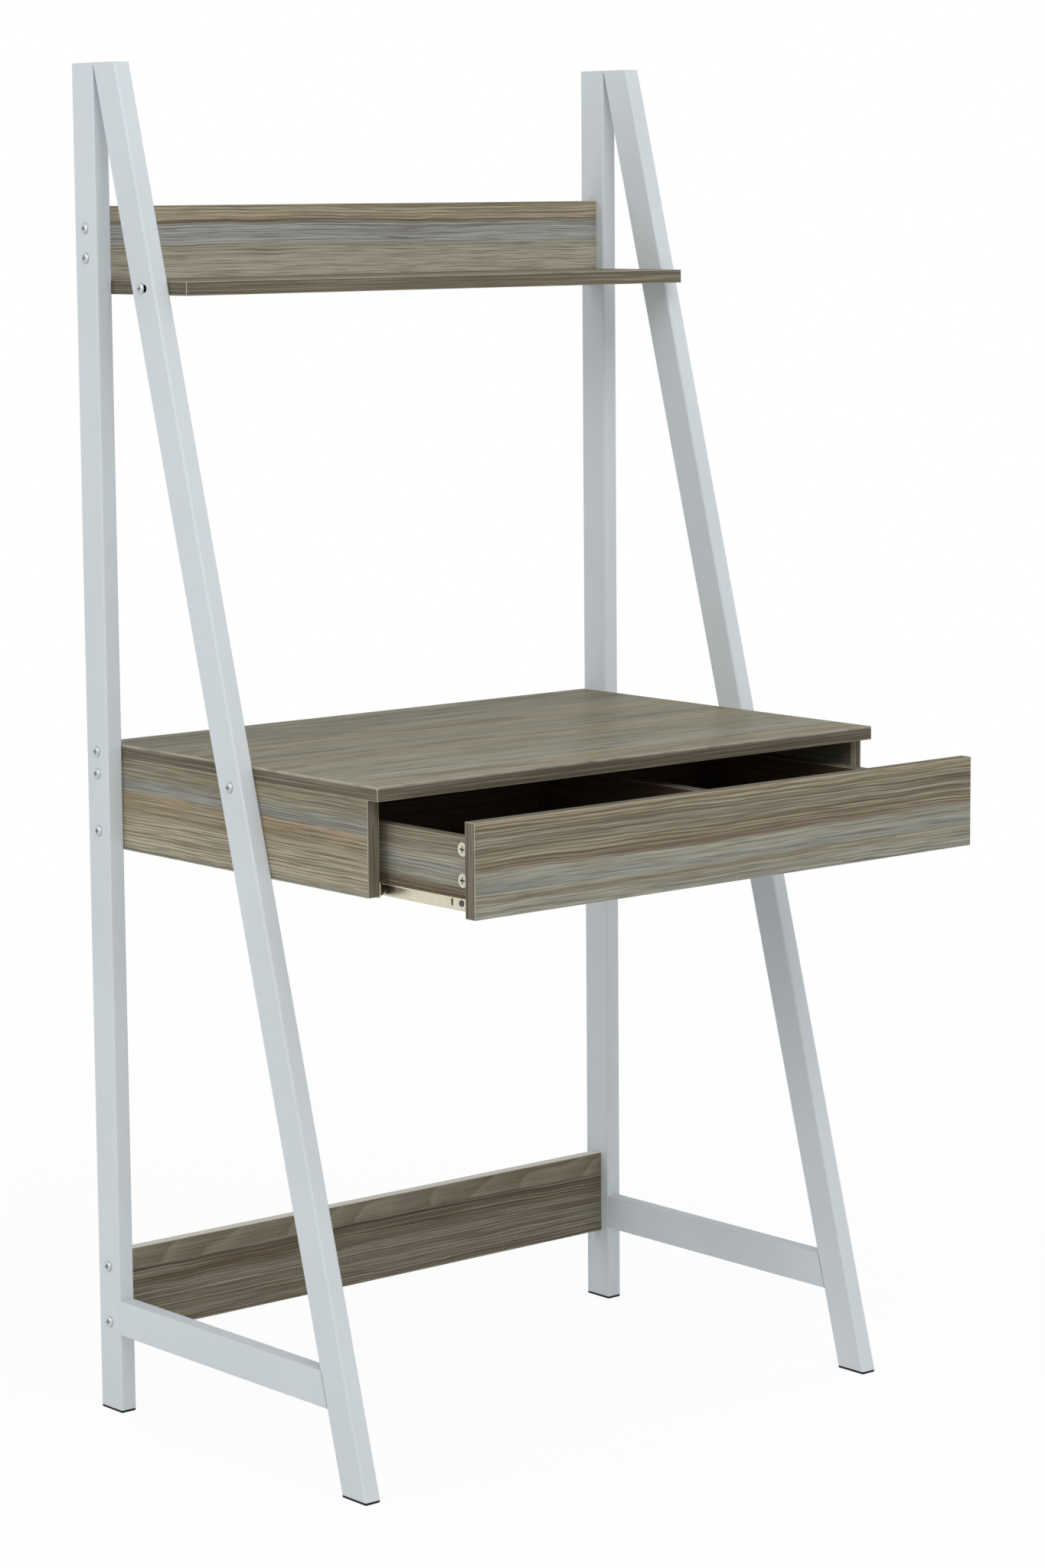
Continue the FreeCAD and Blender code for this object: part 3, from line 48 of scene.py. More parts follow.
# Printed wood grain
LINE_DARK = colour(84, 72, 58)
BARK = colour(112, 98, 80)
DUSK = colour(124, 118, 100)
BROWN = colour(138, 127, 104)
TAN = colour(156, 142, 114)
OCHRE = colour(166, 148, 120)
TAUPE = colour(146, 140, 119)
SAGE = colour(153, 152, 136)
BLUE_GREY = colour(140, 143, 136)
PALE = colour(172, 168, 151)
SILVER = colour(152, 155, 149)
RAIL_PALE = colour(196, 190, 172)
RAIL_GREY = colour(178, 181, 181)
RAIL_TAN = colour(180, 164, 138)
SAND = colour(184, 173, 148)
MOSS = colour(92, 89, 74)
OLIVE = colour(141, 137, 118)
# Painted shade on the faces inside the drawer box, a plain dark brown; the fibreboard's darker
# print uses it too
DARK_PRINT_AND_INNER_SHADE = colour(80, 58, 44)

# Edges of the boards
EDGE_DARK = colour(84, 77, 65)
EDGE_LIGHT = colour(119, 111, 95)
# Painted highlight: the pale line along every arris
EDGE_PAINTED_HIGHLIGHT = colour(186, 178, 161)
# Painted sheen on the upward-facing edges
EDGE_PAINTED_SHEEN = colour(238, 233, 222)

# Metal, plastic and solid wood
FRAME_WHITE = colour(213, 219, 222)
CREAM = colour(226, 221, 204)
BRIGHT_PLATE = colour(196, 200, 203)
WARM_PLATE = colour(216, 209, 190)
ZINC = colour(196, 197, 200)
# A darker plate for the runner screws
DARKER_ZINC = colour(104, 101, 96)
# Bare steel inside the leg tubes, darkened with painted shade
BARE_STEEL_IN_SHADE = colour(40, 40, 42)
# Painted shade in driver recesses: dark on the cream cams, dim on the plated heads
RECESS_SHADE_DARK = colour(62, 58, 52)
RECESS_SHADE_DIM = colour(158, 160, 162)
FOOT_BLACK = colour(16, 16, 17)
ROLLER_BLACK = colour(34, 34, 35)
BEECH_DARK = colour(196, 156, 112)
BEECH_LIGHT = colour(222, 188, 146)
WHITE = grey(1.0)


# ----------------------------------------------------------------------------------- node helpers
def new_material(name):
    material = bpy.data.materials.new(name)
    material.use_nodes = True
    tree = material.node_tree
    tree.nodes.clear()
    output = tree.nodes.new("ShaderNodeOutputMaterial")
    shader = tree.nodes.new("ShaderNodeBsdfPrincipled")
    tree.links.new(shader.outputs["BSDF"], output.inputs["Surface"])
    return material, tree, shader


def feed(tree, socket, value):
    """Puts a constant on a socket, or links another node's output to it."""
    if isinstance(value, bpy.types.NodeSocket):
        tree.links.new(value, socket)
    else:
        socket.default_value = value


def math_node(tree, operation, first, second=0.0):
    node = tree.nodes.new("ShaderNodeMath")
    node.operation = operation
    feed(tree, node.inputs[0], first)
    feed(tree, node.inputs[1], second)
    return node.outputs[0]


def add(tree, first, second):
    return math_node(tree, "ADD", first, second)


def subtract(tree, first, second):
    return math_node(tree, "SUBTRACT", first, second)


def multiply(tree, first, second):
    return math_node(tree, "MULTIPLY", first, second)


def least(tree, first, second):
    return math_node(tree, "MINIMUM", first, second)


def most(tree, first, second):
    return math_node(tree, "MAXIMUM", first, second)


def absolute(tree, value):
    return math_node(tree, "ABSOLUTE", value)


def spanning(tree, value, start, span):
    """start where the value is 0, and start + span where it is 1."""
    return add(tree, multiply(tree, value, span), start)


def centred(tree, value, size):
    """A noise value as a length that swings to either side of zero."""
    return multiply(tree, subtract(tree, value, 0.5), size)


def band(tree, value, low, high):
    """0 below low, 1 above high, smooth between them; the other way round where low is above."""
    node = tree.nodes.new("ShaderNodeMapRange")
    node.interpolation_type = "SMOOTHSTEP"
    node.inputs["From Min"].default_value = low
    node.inputs["From Max"].default_value = high
    tree.links.new(value, node.inputs["Value"])
    return node.outputs["Result"]


def separate(tree, vector):
    node = tree.nodes.new("ShaderNodeSeparateXYZ")
    tree.links.new(vector, node.inputs[0])
    return node.outputs


def combine(tree, x, y, z):
    node = tree.nodes.new("ShaderNodeCombineXYZ")
    for socket, value in zip(node.inputs, (x, y, z)):
        feed(tree, socket, value)
    return node.outputs[0]


def coordinates(tree, kind="Object"):
    return tree.nodes.new("ShaderNodeTexCoord").outputs[kind]


def stretched(tree, vector, along, across):
    """A vector scaled by one number along the grain, which is its x, and by another across it."""
    node = tree.nodes.new("ShaderNodeVectorMath")
    node.operation = "MULTIPLY"
    tree.links.new(vector, node.inputs[0])
    node.inputs[1].default_value = (along, across, across)
    return node.outputs[0]


def noise(tree, vector, detail, scale=1.0, roughness=0.5):
    node = tree.nodes.new("ShaderNodeTexNoise")
    tree.links.new(vector, node.inputs["Vector"])
    node.inputs["Scale"].default_value = scale
    node.inputs["Detail"].default_value = detail
    node.inputs["Roughness"].default_value = roughness
    return node.outputs["Fac"]


def drawn_noise(tree, vector, scales, detail=1.0, roughness=0.5):
    """Noise with one scale along the grain and another across it."""
    return noise(tree, stretched(tree, vector, *scales), detail, roughness=roughness)


def mix_colour(tree, factor, first, second):
    node = tree.nodes.new("ShaderNodeMix")
    node.data_type = "RGBA"
    feed(tree, node.inputs["Factor"], factor)
    feed(tree, node.inputs["A"], first)
    feed(tree, node.inputs["B"], second)
    return node.outputs["Result"]


def tinted(tree, base, mask, strength, tint):
    """The base colour, drawn toward a tint where the mask is 1."""
    return mix_colour(tree, multiply(tree, mask, strength), base, tint)


def ramp(tree, factor, stops, smooth=False):
    """A colour ramp; its stops are pairs of place and colour."""
    node = tree.nodes.new("ShaderNodeValToRGB")
    if smooth:
        node.color_ramp.interpolation = "EASE"
    elements = node.color_ramp.elements
    while len(elements) < len(stops):
        elements.new(0.5)
    for element, (position, tint) in zip(elements, stops):
        element.position = position
        element.color = tint
    tree.links.new(factor, node.inputs["Fac"])
    return node.outputs["Color"]


def cover(tree, shader, tint, roughness, relief, strength, depth):
    """Gives a shader its colour and roughness, and a relief as bump of this strength and depth."""
    bump = tree.nodes.new("ShaderNodeBump")
    bump.inputs["Strength"].default_value = strength
    bump.inputs["Distance"].default_value = depth
    tree.links.new(relief, bump.inputs["Height"])
    tree.links.new(tint, shader.inputs["Base Color"])
    tree.links.new(roughness, shader.inputs["Roughness"])
    tree.links.new(bump.outputs["Normal"], shader.inputs["Normal"])


def seen_directly(tree):
    """1 for the rays that show the background: to the camera, in reflections and through glass."""
    rays = tree.nodes.new("ShaderNodeLightPath").outputs
    shown = most(tree, rays["Is Camera Ray"], rays["Is Glossy Ray"])
    return most(tree, shown, rays["Is Transmission Ray"])


def mix_shaders(tree, factor, first, second):
    node = tree.nodes.new("ShaderNodeMixShader")
    for socket, value in zip(node.inputs, (factor, first, second)):
        tree.links.new(value, socket)
    return node.outputs["Shader"]


def dress(material, *names):
    for name in names:
        for material_slot in nodes[name].material_slots:
            material_slot.material = material


# --------------------------------------------------------------------------------------- laminate
# Each pair of scales is a noise's fineness per metre, along the grain and across it. Each fade,
# rise or fall is the pair of limits that goes to band().

# The whole print sways slowly and ripples quickly along the grain.
SWAY_SCALES = (2.4, 5.0)
SWAY_SIZE = 0.010
RIPPLE_SCALES = (13.0, 24.0)
RIPPLE_SIZE = 0.0044

# Streaks that break up the bands of colour
STREAK_SCALES = (0.8, 130.0)
STREAK_NOISE_ROUGHNESS = 0.65
STREAK_SHIFT = 0.14
STREAK_PALE_FADE = (0.52, 0.68)
STREAK_PALE_STRENGTH = 0.14
STREAK_DARK_FADE = (0.48, 0.32)
STREAK_DARK_STRENGTH = 0.12

# Broad smears on the level boards
SMEAR_SCALES = (4.5, 46.0)
SMEAR_NOISE_ROUGHNESS = 0.7
SMEAR_DARK_FADE = (0.52, 0.62)
SMEAR_DARK_STRENGTH = 0.60
SMEAR_PALE_FADE = (0.48, 0.36)
SMEAR_PALE_STRENGTH = 0.40

# Growth rings: each ring runs from 0 to 1, pale at its start and dark toward its end.
RINGS_PER_METRE = 270.0
RING_WANDER = 1.7
RING_WANDER_SCALES = (1.1, 52.0)
RING_DARK_RISE = (0.54, 0.86)
RING_DARK_FALL = (1.0, 0.91)
RING_DARK_STRENGTH = 0.54
RING_PALE_RISE = (0.0, 0.10)
RING_PALE_FALL = (0.48, 0.14)
RING_PALE_STRENGTH = 0.36
RING_PATCH_SCALES = (1.6, 26.0)
RING_PATCH_FADE = (0.05, 0.50)

# Fine lines, finer hairs and pale flecks
LINE_SCALES = (4.5, 620.0)
LINE_NOISE_ROUGHNESS = 0.6
LINE_DARK_FADE = (0.52, 0.62)
LINE_DARK_STRENGTH = 0.58
LINE_PALE_FADE = (0.48, 0.38)
LINE_PALE_STRENGTH = 0.40
LINE_SHARE_WITHOUT_RINGS = 0.40
HAIR_SCALES = (16.0, 1150.0)
HAIR_FADE = (0.50, 0.62)
HAIR_STRENGTH = 0.46
FLECK_SCALES = (900.0, 1400.0)
FLECK_FADE = (0.50, 0.66)
FLECK_SHARE_WITHOUT_RINGS = 1.4
FACE_SPECKLE = 0.30

# Flame figures of flat-sawn wood
FLAMES_PER_METRE = 13.0
FLAME_FOOT = 0.72
FLAME_BOW = -8.0
FLAME_NARROWING = 0.1
FLAME_SCALES = (9.0, 12.0)
FLAME_WANDER = 2.4
FLAME_SHARE_WANDER = 0.06
FLAME_START = (0.745, 0.765)
FLAME_STRENGTH = 0.55
FLAME_SHADES = ((0.0, DUSK), (0.10, TAUPE), (0.45, DUSK), (1.0, BARK))

# Edge bands
EDGE_SCALES = (1.5, 200.0)
EDGE_STOPS = ((0.20, EDGE_DARK), (0.80, EDGE_LIGHT))
EDGE_SPECKLE = 0.11
EDGE_CONTRAST = 0.85
EDGE_SWING_SHARE = 0.3

# Painted highlight: a pale line along every arris, broken up by noise. Along the upper rim, the
# top few millimetres of a board, the distance from an arris counts for less, so the line is
# broader.
ARRIS_HIGHLIGHT_WIDTH = 0.0006
ARRIS_HIGHLIGHT_FADE = (0.5 * ARRIS_HIGHLIGHT_WIDTH, 1.5 * ARRIS_HIGHLIGHT_WIDTH)
ARRIS_HIGHLIGHT_STRENGTH = 0.8
HIGHLIGHT_BREAKUP_SCALES = (25.0, 25.0)
HIGHLIGHT_BREAKUP_FADE = (0.15, 0.60)
RIM_FADE = (0.004, 0.003)
RIM_SHRINKING = 0.7

# How squarely a face has to look along an axis to count as looking that way
SQUARE_ON = (0.80, 0.95)
# How strongly painted shade darkens the faces inside the drawer box
INNER_SHADE_STRENGTH = 0.75

# Gloss and relief
SMUDGE_SCALE = 6.0
LAMINATE_ROUGHNESS = 0.16
RELIEF_ROUGHENING = 0.08
SMUDGE_ROUGHENING = 0.12
RELIEF_STRENGTH = 0.15
RELIEF_DEPTH = 0.0003
COAT_WEIGHT = 0.14
COAT_ROUGHNESS = 0.27


def growth_rings(tree, vector):
    """Nested lines along the grain, uneven in spacing: their dark side and their pale side."""
    wander = drawn_noise(tree, vector, RING_WANDER_SCALES)
    turns = add(tree, multiply(tree, separate(tree, vector)[1], RINGS_PER_METRE),
                multiply(tree, wander, RING_WANDER))
    saw = math_node(tree, "FRACT", turns)
    dark = multiply(tree, band(tree, saw, *RING_DARK_RISE), band(tree, saw, *RING_DARK_FALL))
    pale = multiply(tree, band(tree, saw, *RING_PALE_RISE), band(tree, saw, *RING_PALE_FALL))
    return dark, pale


def printed_grain(tree, vector, base, figure, speckle=FACE_SPECKLE, contrast=1.0,
                  dark_tint=LINE_DARK):
    """Adds the printed lines and pale flecks to a colour; also returns them as relief. figure is
    the strength of the growth rings, speckle that of the flecks, and contrast that of the fine
    lines."""
    patches = drawn_noise(tree, vector, RING_PATCH_SCALES)
    lines = drawn_noise(tree, vector, LINE_SCALES, roughness=LINE_NOISE_ROUGHNESS)
    hairs = drawn_noise(tree, vector, HAIR_SCALES, roughness=LINE_NOISE_ROUGHNESS)
    flecks = drawn_noise(tree, vector, FLECK_SCALES)
    dark, pale = growth_rings(tree, vector)
    weight = multiply(tree, figure, band(tree, patches, *RING_PATCH_FADE))
    rings = multiply(tree, dark, weight)
    share = spanning(tree, figure, LINE_SHARE_WITHOUT_RINGS, 1.0 - LINE_SHARE_WITHOUT_RINGS)
    inked = multiply(tree, band(tree, lines, *LINE_DARK_FADE), share)
    flecked = multiply(tree, band(tree, flecks, *FLECK_FADE),
                       subtract(tree, FLECK_SHARE_WITHOUT_RINGS, figure))
    unprinted = band(tree, lines, *LINE_PALE_FADE)
    haired = band(tree, hairs, *HAIR_FADE)

    tint = tinted(tree, base, flecked, speckle, PALE)
    tint = tinted(tree, tint, multiply(tree, pale, weight), RING_PALE_STRENGTH, PALE)
    tint = tinted(tree, tint, unprinted, LINE_PALE_STRENGTH * contrast, PALE)
    tint = tinted(tree, tint, rings, RING_DARK_STRENGTH, dark_tint)
    tint = tinted(tree, tint, inked, LINE_DARK_STRENGTH * contrast, dark_tint)
    tint = tinted(tree, tint, haired, HAIR_STRENGTH * contrast, dark_tint)
    return tint, subtract(tree, 1.0, most(tree, rings, hairs))


def flame_figure(tree, along, share, face):
    """Plain scallops one after the other near the board's upper edge, as in flat-sawn wood."""
    bow = math_node(tree, "POWER", subtract(tree, share, FLAME_FOOT), 2.0)
    steps = add(tree, multiply(tree, along, FLAMES_PER_METRE), multiply(tree, bow, FLAME_BOW))
    place = combine(tree, along, multiply(tree, share, FLAME_NARROWING), 0.0)
    wander = drawn_noise(tree, place, FLAME_SCALES)
    saw = math_node(tree, "FRACT", add(tree, steps, multiply(tree, wander, FLAME_WANDER)))
    wandering = add(tree, share, centred(tree, wander, FLAME_SHARE_WANDER))
    shades = ramp(tree, saw, FLAME_SHADES)
    return tinted(tree, face, band(tree, wandering, *FLAME_START), FLAME_STRENGTH, shades)


def printed_face(tree, bent, share, stripes, smeared):
    """Bands of colour, broken up by streaks that follow them, under the grain; also returns the
    grain as relief."""
    streaks = drawn_noise(tree, bent, STREAK_SCALES, detail=3.0, roughness=STREAK_NOISE_ROUGHNESS)
    broken = add(tree, share, centred(tree, streaks, STREAK_SHIFT))
    face = ramp(tree, broken, [(place, tint) for place, tint, _ in stripes], smooth=True)
    figure = ramp(tree, share, [(place, grey(rings)) for place, _, rings in stripes])
    face = tinted(tree, face, band(tree, streaks, *STREAK_PALE_FADE), STREAK_PALE_STRENGTH, PALE)
    face = tinted(tree, face, band(tree, streaks, *STREAK_DARK_FADE), STREAK_DARK_STRENGTH, BARK)
    if not smeared:
        return printed_grain(tree, bent, face, figure)
    smears = drawn_noise(tree, bent, SMEAR_SCALES, detail=3.0, roughness=SMEAR_NOISE_ROUGHNESS)
    face = tinted(tree, face, band(tree, smears, *SMEAR_DARK_FADE), SMEAR_DARK_STRENGTH, MOSS)
    face = tinted(tree, face, band(tree, smears, *SMEAR_PALE_FADE), SMEAR_PALE_STRENGTH, PALE)
    return printed_grain(tree, bent, face, figure, dark_tint=MOSS)


def printed_edge(tree, around):
    """A darker print whose lines run along each edge."""
    streaks = drawn_noise(tree, around, EDGE_SCALES, detail=2.0)
    edge, _ = printed_grain(tree, around, ramp(tree, streaks, EDGE_STOPS), 0.0,
                            speckle=EDGE_SPECKLE, contrast=EDGE_CONTRAST)
    return edge


def arris_highlight_mask(tree, parts, low, high, broad_upper_highlight, plain):
    """How strongly the painted highlight line shows. It runs along every arris, where two of the
    three distances to the board's box vanish, so the middle one of the three is its distance."""
    near = [least(tree, subtract(tree, parts[AXES[axis]], low[axis]),
                  subtract(tree, high[axis], parts[AXES[axis]])) for axis in AXES]
    lesser = least(tree, near[0], near[1])
    greater = most(tree, near[0], near[1])
    middle = most(tree, lesser, least(tree, greater, near[2]))
    if broad_upper_highlight:
        from_top = subtract(tree, high["Z"], parts[AXES["Z"]])
        shrinking = multiply(tree, band(tree, from_top, *RIM_FADE), RIM_SHRINKING)
        middle = multiply(tree, middle, subtract(tree, 1.0, shrinking))
    highlight = subtract(tree, 1.0, band(tree, middle, *ARRIS_HIGHLIGHT_FADE))
    breakup = band(tree, drawn_noise(tree, plain, HIGHLIGHT_BREAKUP_SCALES, detail=3.0), *HIGHLIGHT_BREAKUP_FADE)
    return multiply(tree, highlight, multiply(tree, breakup, ARRIS_HIGHLIGHT_STRENGTH))


def laminate(name, grain, flat, stripes, shift, inside=None, painted_upper_sheen=0.0, flames=False,
             broad_upper_highlight=False):
    """Printed laminate for one board.

    grain: the axis that its grain follows.
    flat: the axis that its faces look along.
    stripes: its bands of colour from one long edge to the other, each with its share of the
        width, its colour and the strength of the growth rings there.
    shift: metres by which its print is moved along the grain, so that no two boards match.
    inside: which faces are darkened toward a plain dark brown as painted shade, "+" for those that
    look toward +flat, "-" for those that look toward -flat, "both" for both.
    painted_upper_sheen: how strongly a painted sheen lightens the upward-facing edges.
    flames: whether flame figures show near the upper edge.
    broad_upper_highlight: whether the painted highlight is broader along the upper arrises.
    """
    corners = nodes[name].bound_box
    low = {axis: min(corner[AXES[axis]] for corner in corners) for axis in AXES}
    high = {axis: max(corner[AXES[axis]] for corner in corners) for axis in AXES}
    across = next(axis for axis in AXES if axis not in (grain, flat))

    material, tree, shader = new_material("laminate_" + name)
    parts = separate(tree, coordinates(tree))
    along, over, through = (parts[AXES[axis]] for axis in (grain, across, flat))
    along = add(tree, along, shift)
    plain = combine(tree, along, over, through)
    normal = separate(tree, coordinates(tree, "Normal"))
    toward = normal[AXES[flat]]
    facing = absolute(tree, toward)

    # The print's own coordinates, and the share of the board's width, from 0 to 1
    sway = drawn_noise(tree, plain, SWAY_SCALES, detail=2.0)
    ripple = drawn_noise(tree, plain, RIPPLE_SCALES, detail=1.5)
    swing = add(tree, centred(tree, sway, SWAY_SIZE), centred(tree, ripple, RIPPLE_SIZE))
    bent = combine(tree, along, add(tree, over, swing), through)
    share = subtract(tree, separate(tree, bent)[1], low[across])
    share = math_node(tree, "DIVIDE", share, high[across] - low[across])

    # Faces
    face, relief = printed_face(tree, bent, share, stripes, smeared=flat == "Z")
    if flames:
        face = flame_figure(tree, along, share, face)
    # Painted shade on the faces inside the drawer box
    if inside:
        shown = {"+": toward, "-": multiply(tree, toward, -1.0), "both": facing}[inside]
        face = tinted(tree, face, band(tree, shown, *SQUARE_ON), INNER_SHADE_STRENGTH, DARK_PRINT_AND_INNER_SHADE)

    # Edge bands, in coordinates that run along each edge
    edge_lean = multiply(tree, swing, EDGE_SWING_SHARE)
    around = combine(tree, add(tree, along, over), add(tree, through, edge_lean), shift)
    edge = printed_edge(tree, around)
    # Painted sheen: the upward-facing edges are lightened toward a pale colour
    if painted_upper_sheen:
        edge = tinted(tree, edge, band(tree, normal[2], *SQUARE_ON), painted_upper_sheen, EDGE_PAINTED_SHEEN)

    # Both together, with the painted highlight line along the arrises between them
    tint = mix_colour(tree, band(tree, facing, *SQUARE_ON), edge, face)
    highlight = arris_highlight_mask(tree, parts, low, high, broad_upper_highlight, plain)
    tint = mix_colour(tree, highlight, tint, EDGE_PAINTED_HIGHLIGHT)

    smudge = noise(tree, plain, scale=SMUDGE_SCALE, detail=4.0)
    gloss = add(tree, multiply(tree, relief, RELIEF_ROUGHENING),
                multiply(tree, smudge, SMUDGE_ROUGHENING))
    gloss = add(tree, gloss, LAMINATE_ROUGHNESS)
    cover(tree, shader, tint, gloss, relief, RELIEF_STRENGTH, RELIEF_DEPTH)
    shader.inputs["Specular IOR Level"].default_value = 0.0
    shader.inputs["Coat Weight"].default_value = COAT_WEIGHT
    shader.inputs["Coat Roughness"].default_value = COAT_ROUGHNESS
    return material


# --------------------------------------------------------------------------------- other materials
# Painted shade in driver recesses: depths below the head, in metres, and how squarely a face looks
# along X
RECESS_FLOOR_RISE = (0.0006, 0.0011)
RECESS_FLOOR_FALL = (0.0024, 0.0018)
RECESS_FLOOR_FACING = (0.92, 0.99)
RECESS_WALL_RISE = (0.0002, 0.0007)
RECESS_WALL_FALL = (0.0016, 0.0013)
RECESS_WALL_FACING = (0.30, 0.15)

# Painted shade inside a leg tube: depths below its outer face, and how squarely a face looks along
# X
TUBE_SKIN = 0.0004
TUBE_SKIN_END = 0.0008
TUBE_INSIDE_FACING = (0.90, 0.98)

# Paint
PAINT_CLOUD_SCALE = 5.0
PAINT_CLOUD_FADE = (0.35, 0.70)
PAINT_CLOUD_DIMMING = 0.95
PAINT_CLOUD_ROUGHENING = 0.12
PEEL_STRENGTH = 0.12
PEEL_DEPTH = 0.0002

# Plated steel
TURNING_SCALES = (300.0, 2600.0)
TURNING_ROUGHENING = 0.25
TURNING_STRENGTH = 0.15
TURNING_DEPTH = 0.0001
PLATE_DULLING = 0.72
PLATE_CLOUD_SCALE = 160.0
PLATE_CLOUD_FADE = (0.40, 0.75)

# Moulded plastic
GRIT_SCALE = 1800.0
GRIT_STRENGTH = 0.2
GRIT_DEPTH = 0.0001
RUB_SCALE = 60.0
RUB_FADE = (0.52, 0.78)
RUB_BRIGHTENING = 1.7
RUB_LIFT = 0.01
RUB_ROUGHENING = 0.2

# Fibreboard
FIBRE_SCALES = (2.0, 45.0)
FIBRE_STOPS = ((0.3, DARK_PRINT_AND_INNER_SHADE), (0.7, BARK))
FIBRE_ROUGHNESS = 0.5
FIBRE_ROUGHENING = 0.2
FIBRE_STRENGTH = 0.2
FIBRE_DEPTH = 0.0003

# Beech
PORE_SCALES = (200.0, 900.0)
PORE_STOPS = ((0.35, BEECH_DARK), (0.65, BEECH_LIGHT))
PORE_ROUGHNESS = 0.55
PORE_ROUGHENING = 0.2
PORE_STRENGTH = 0.3
PORE_DEPTH = 0.0002

# Levels of the plain reflection of what isn't metal
PLAIN_SPECULAR = 0.5
LOW_SPECULAR = 0.2
FRAME_SPECULAR = 0.15


def facing_sideways(tree):
    """1 on faces that look along X, 0 on those that look across it."""
    return absolute(tree, separate(tree, coordinates(tree, "Normal"))[0])


def recess_shade_mask(tree, place, heads):
    """Painted shade: 1 inside the driver recesses of fasteners whose heads face away from the
    desk's middle.
    """
    outermost = max(corner[0] for corner in nodes[heads].bound_box)
    depth = subtract(tree, outermost, absolute(tree, separate(tree, place)[0]))
    facing = facing_sideways(tree)
    recess_floor = multiply(tree, band(tree, depth, *RECESS_FLOOR_RISE),
                            band(tree, facing, *RECESS_FLOOR_FACING))
    recess_floor = multiply(tree, recess_floor, band(tree, depth, *RECESS_FLOOR_FALL))
    recess_wall = multiply(tree, band(tree, depth, *RECESS_WALL_RISE),
                           band(tree, facing, *RECESS_WALL_FACING))
    recess_wall = multiply(tree, recess_wall, band(tree, depth, *RECESS_WALL_FALL))
    return most(tree, recess_floor, recess_wall)


def tube_inside_mask(tree, place):
    """1 on the two side walls inside a leg tube, seen through its slot: bare steel, darkened with
    painted shade.
    """
    distances = [abs(corner[0]) for corner in nodes["front_leg_left"].bound_box]
    inner, outer = min(distances), max(distances)
    from_middle = absolute(tree, separate(tree, place)[0])
    within = multiply(tree, band(tree, from_middle, inner + TUBE_SKIN, inner + TUBE_SKIN_END),
                      band(tree, from_middle, outer - TUBE_SKIN, outer - TUBE_SKIN_END))
    return multiply(tree, within, band(tree, facing_sideways(tree), *TUBE_INSIDE_FACING))


def powder_coat(name, tint, roughness, texture, specular=PLAIN_SPECULAR, heads=None, tube=False):
    """Baked paint: a faint orange peel, and a little cloudiness in its gloss and colour. heads
    names a node of fasteners whose driver recesses are darkened with painted shade, and a tube is
    bare steel inside, darkened with painted shade."""
    material, tree, shader = new_material(name)
    place = coordinates(tree)
    cloud = noise(tree, place, scale=PAINT_CLOUD_SCALE, detail=4.0)
    peel = noise(tree, place, scale=texture, detail=2.0)
    dim = rescaled(tint, PAINT_CLOUD_DIMMING)
    tint = mix_colour(tree, band(tree, cloud, *PAINT_CLOUD_FADE), tint, dim)
    # Painted shade darkens the driver recesses
    if heads:
        tint = mix_colour(tree, recess_shade_mask(tree, place, heads), tint, RECESS_SHADE_DARK)
    # Painted shade: the bare steel inside the tube is darkened
    if tube:
        tint = mix_colour(tree, tube_inside_mask(tree, place), tint, BARE_STEEL_IN_SHADE)
    gloss = spanning(tree, cloud, roughness - 0.5 * PAINT_CLOUD_ROUGHENING, PAINT_CLOUD_ROUGHENING)
    cover(tree, shader, tint, gloss, peel, PEEL_STRENGTH, PEEL_DEPTH)
    shader.inputs["Specular IOR Level"].default_value = specular
    return material


def plated(name, tint, roughness, dulling=PLATE_DULLING, heads=None):
    """Bright plated steel with fine turning marks and patches dulled to a share of its brightness.
    heads names a node of fasteners whose driver recesses are dimmed with painted shade."""
    material, tree, shader = new_material(name)
    place = coordinates(tree)
    marks = drawn_noise(tree, place, TURNING_SCALES, detail=3.0)
    cloud = noise(tree, place, scale=PLATE_CLOUD_SCALE, detail=3.0)
    dull = rescaled(tint, dulling)
    tint = mix_colour(tree, band(tree, cloud, *PLATE_CLOUD_FADE), tint, dull)
    # Painted shade dims the driver recesses
    if heads:
        tint = mix_colour(tree, recess_shade_mask(tree, place, heads), tint, RECESS_SHADE_DIM)
    gloss = spanning(tree, marks, roughness, TURNING_ROUGHENING)
    cover(tree, shader, tint, gloss, marks, TURNING_STRENGTH, TURNING_DEPTH)
    shader.inputs["Metallic"].default_value = 1.0
    return material


def moulded(name, tint, roughness):
    """Moulded plastic with a fine spark-eroded texture and rubbed, paler spots."""
    material, tree, shader = new_material(name)
    place = coordinates(tree)
    grit = noise(tree, place, scale=GRIT_SCALE, detail=2.0)
    rub = noise(tree, place, scale=RUB_SCALE, detail=4.0)
    pale = rescaled(tint, RUB_BRIGHTENING, RUB_LIFT)
    tint = mix_colour(tree, band(tree, rub, *RUB_FADE), tint, pale)
    gloss = spanning(tree, rub, roughness - 0.5 * RUB_ROUGHENING, RUB_ROUGHENING)
    cover(tree, shader, tint, gloss, grit, GRIT_STRENGTH, GRIT_DEPTH)
    shader.inputs["Specular IOR Level"].default_value = LOW_SPECULAR
    return material


def fibreboard(name):
    """Thin sheet: a dark print with little figure and a fibrous tooth."""
    material, tree, shader = new_material(name)
    place = coordinates(tree)
    streaks = drawn_noise(tree, place, FIBRE_SCALES, detail=3.0)
    tint, relief = printed_grain(tree, place, ramp(tree, streaks, FIBRE_STOPS), 0.0)
    gloss = spanning(tree, relief, FIBRE_ROUGHNESS, FIBRE_ROUGHENING)
    cover(tree, shader, tint, gloss, relief, FIBRE_STRENGTH, FIBRE_DEPTH)
    shader.inputs["Specular IOR Level"].default_value = LOW_SPECULAR
    return material


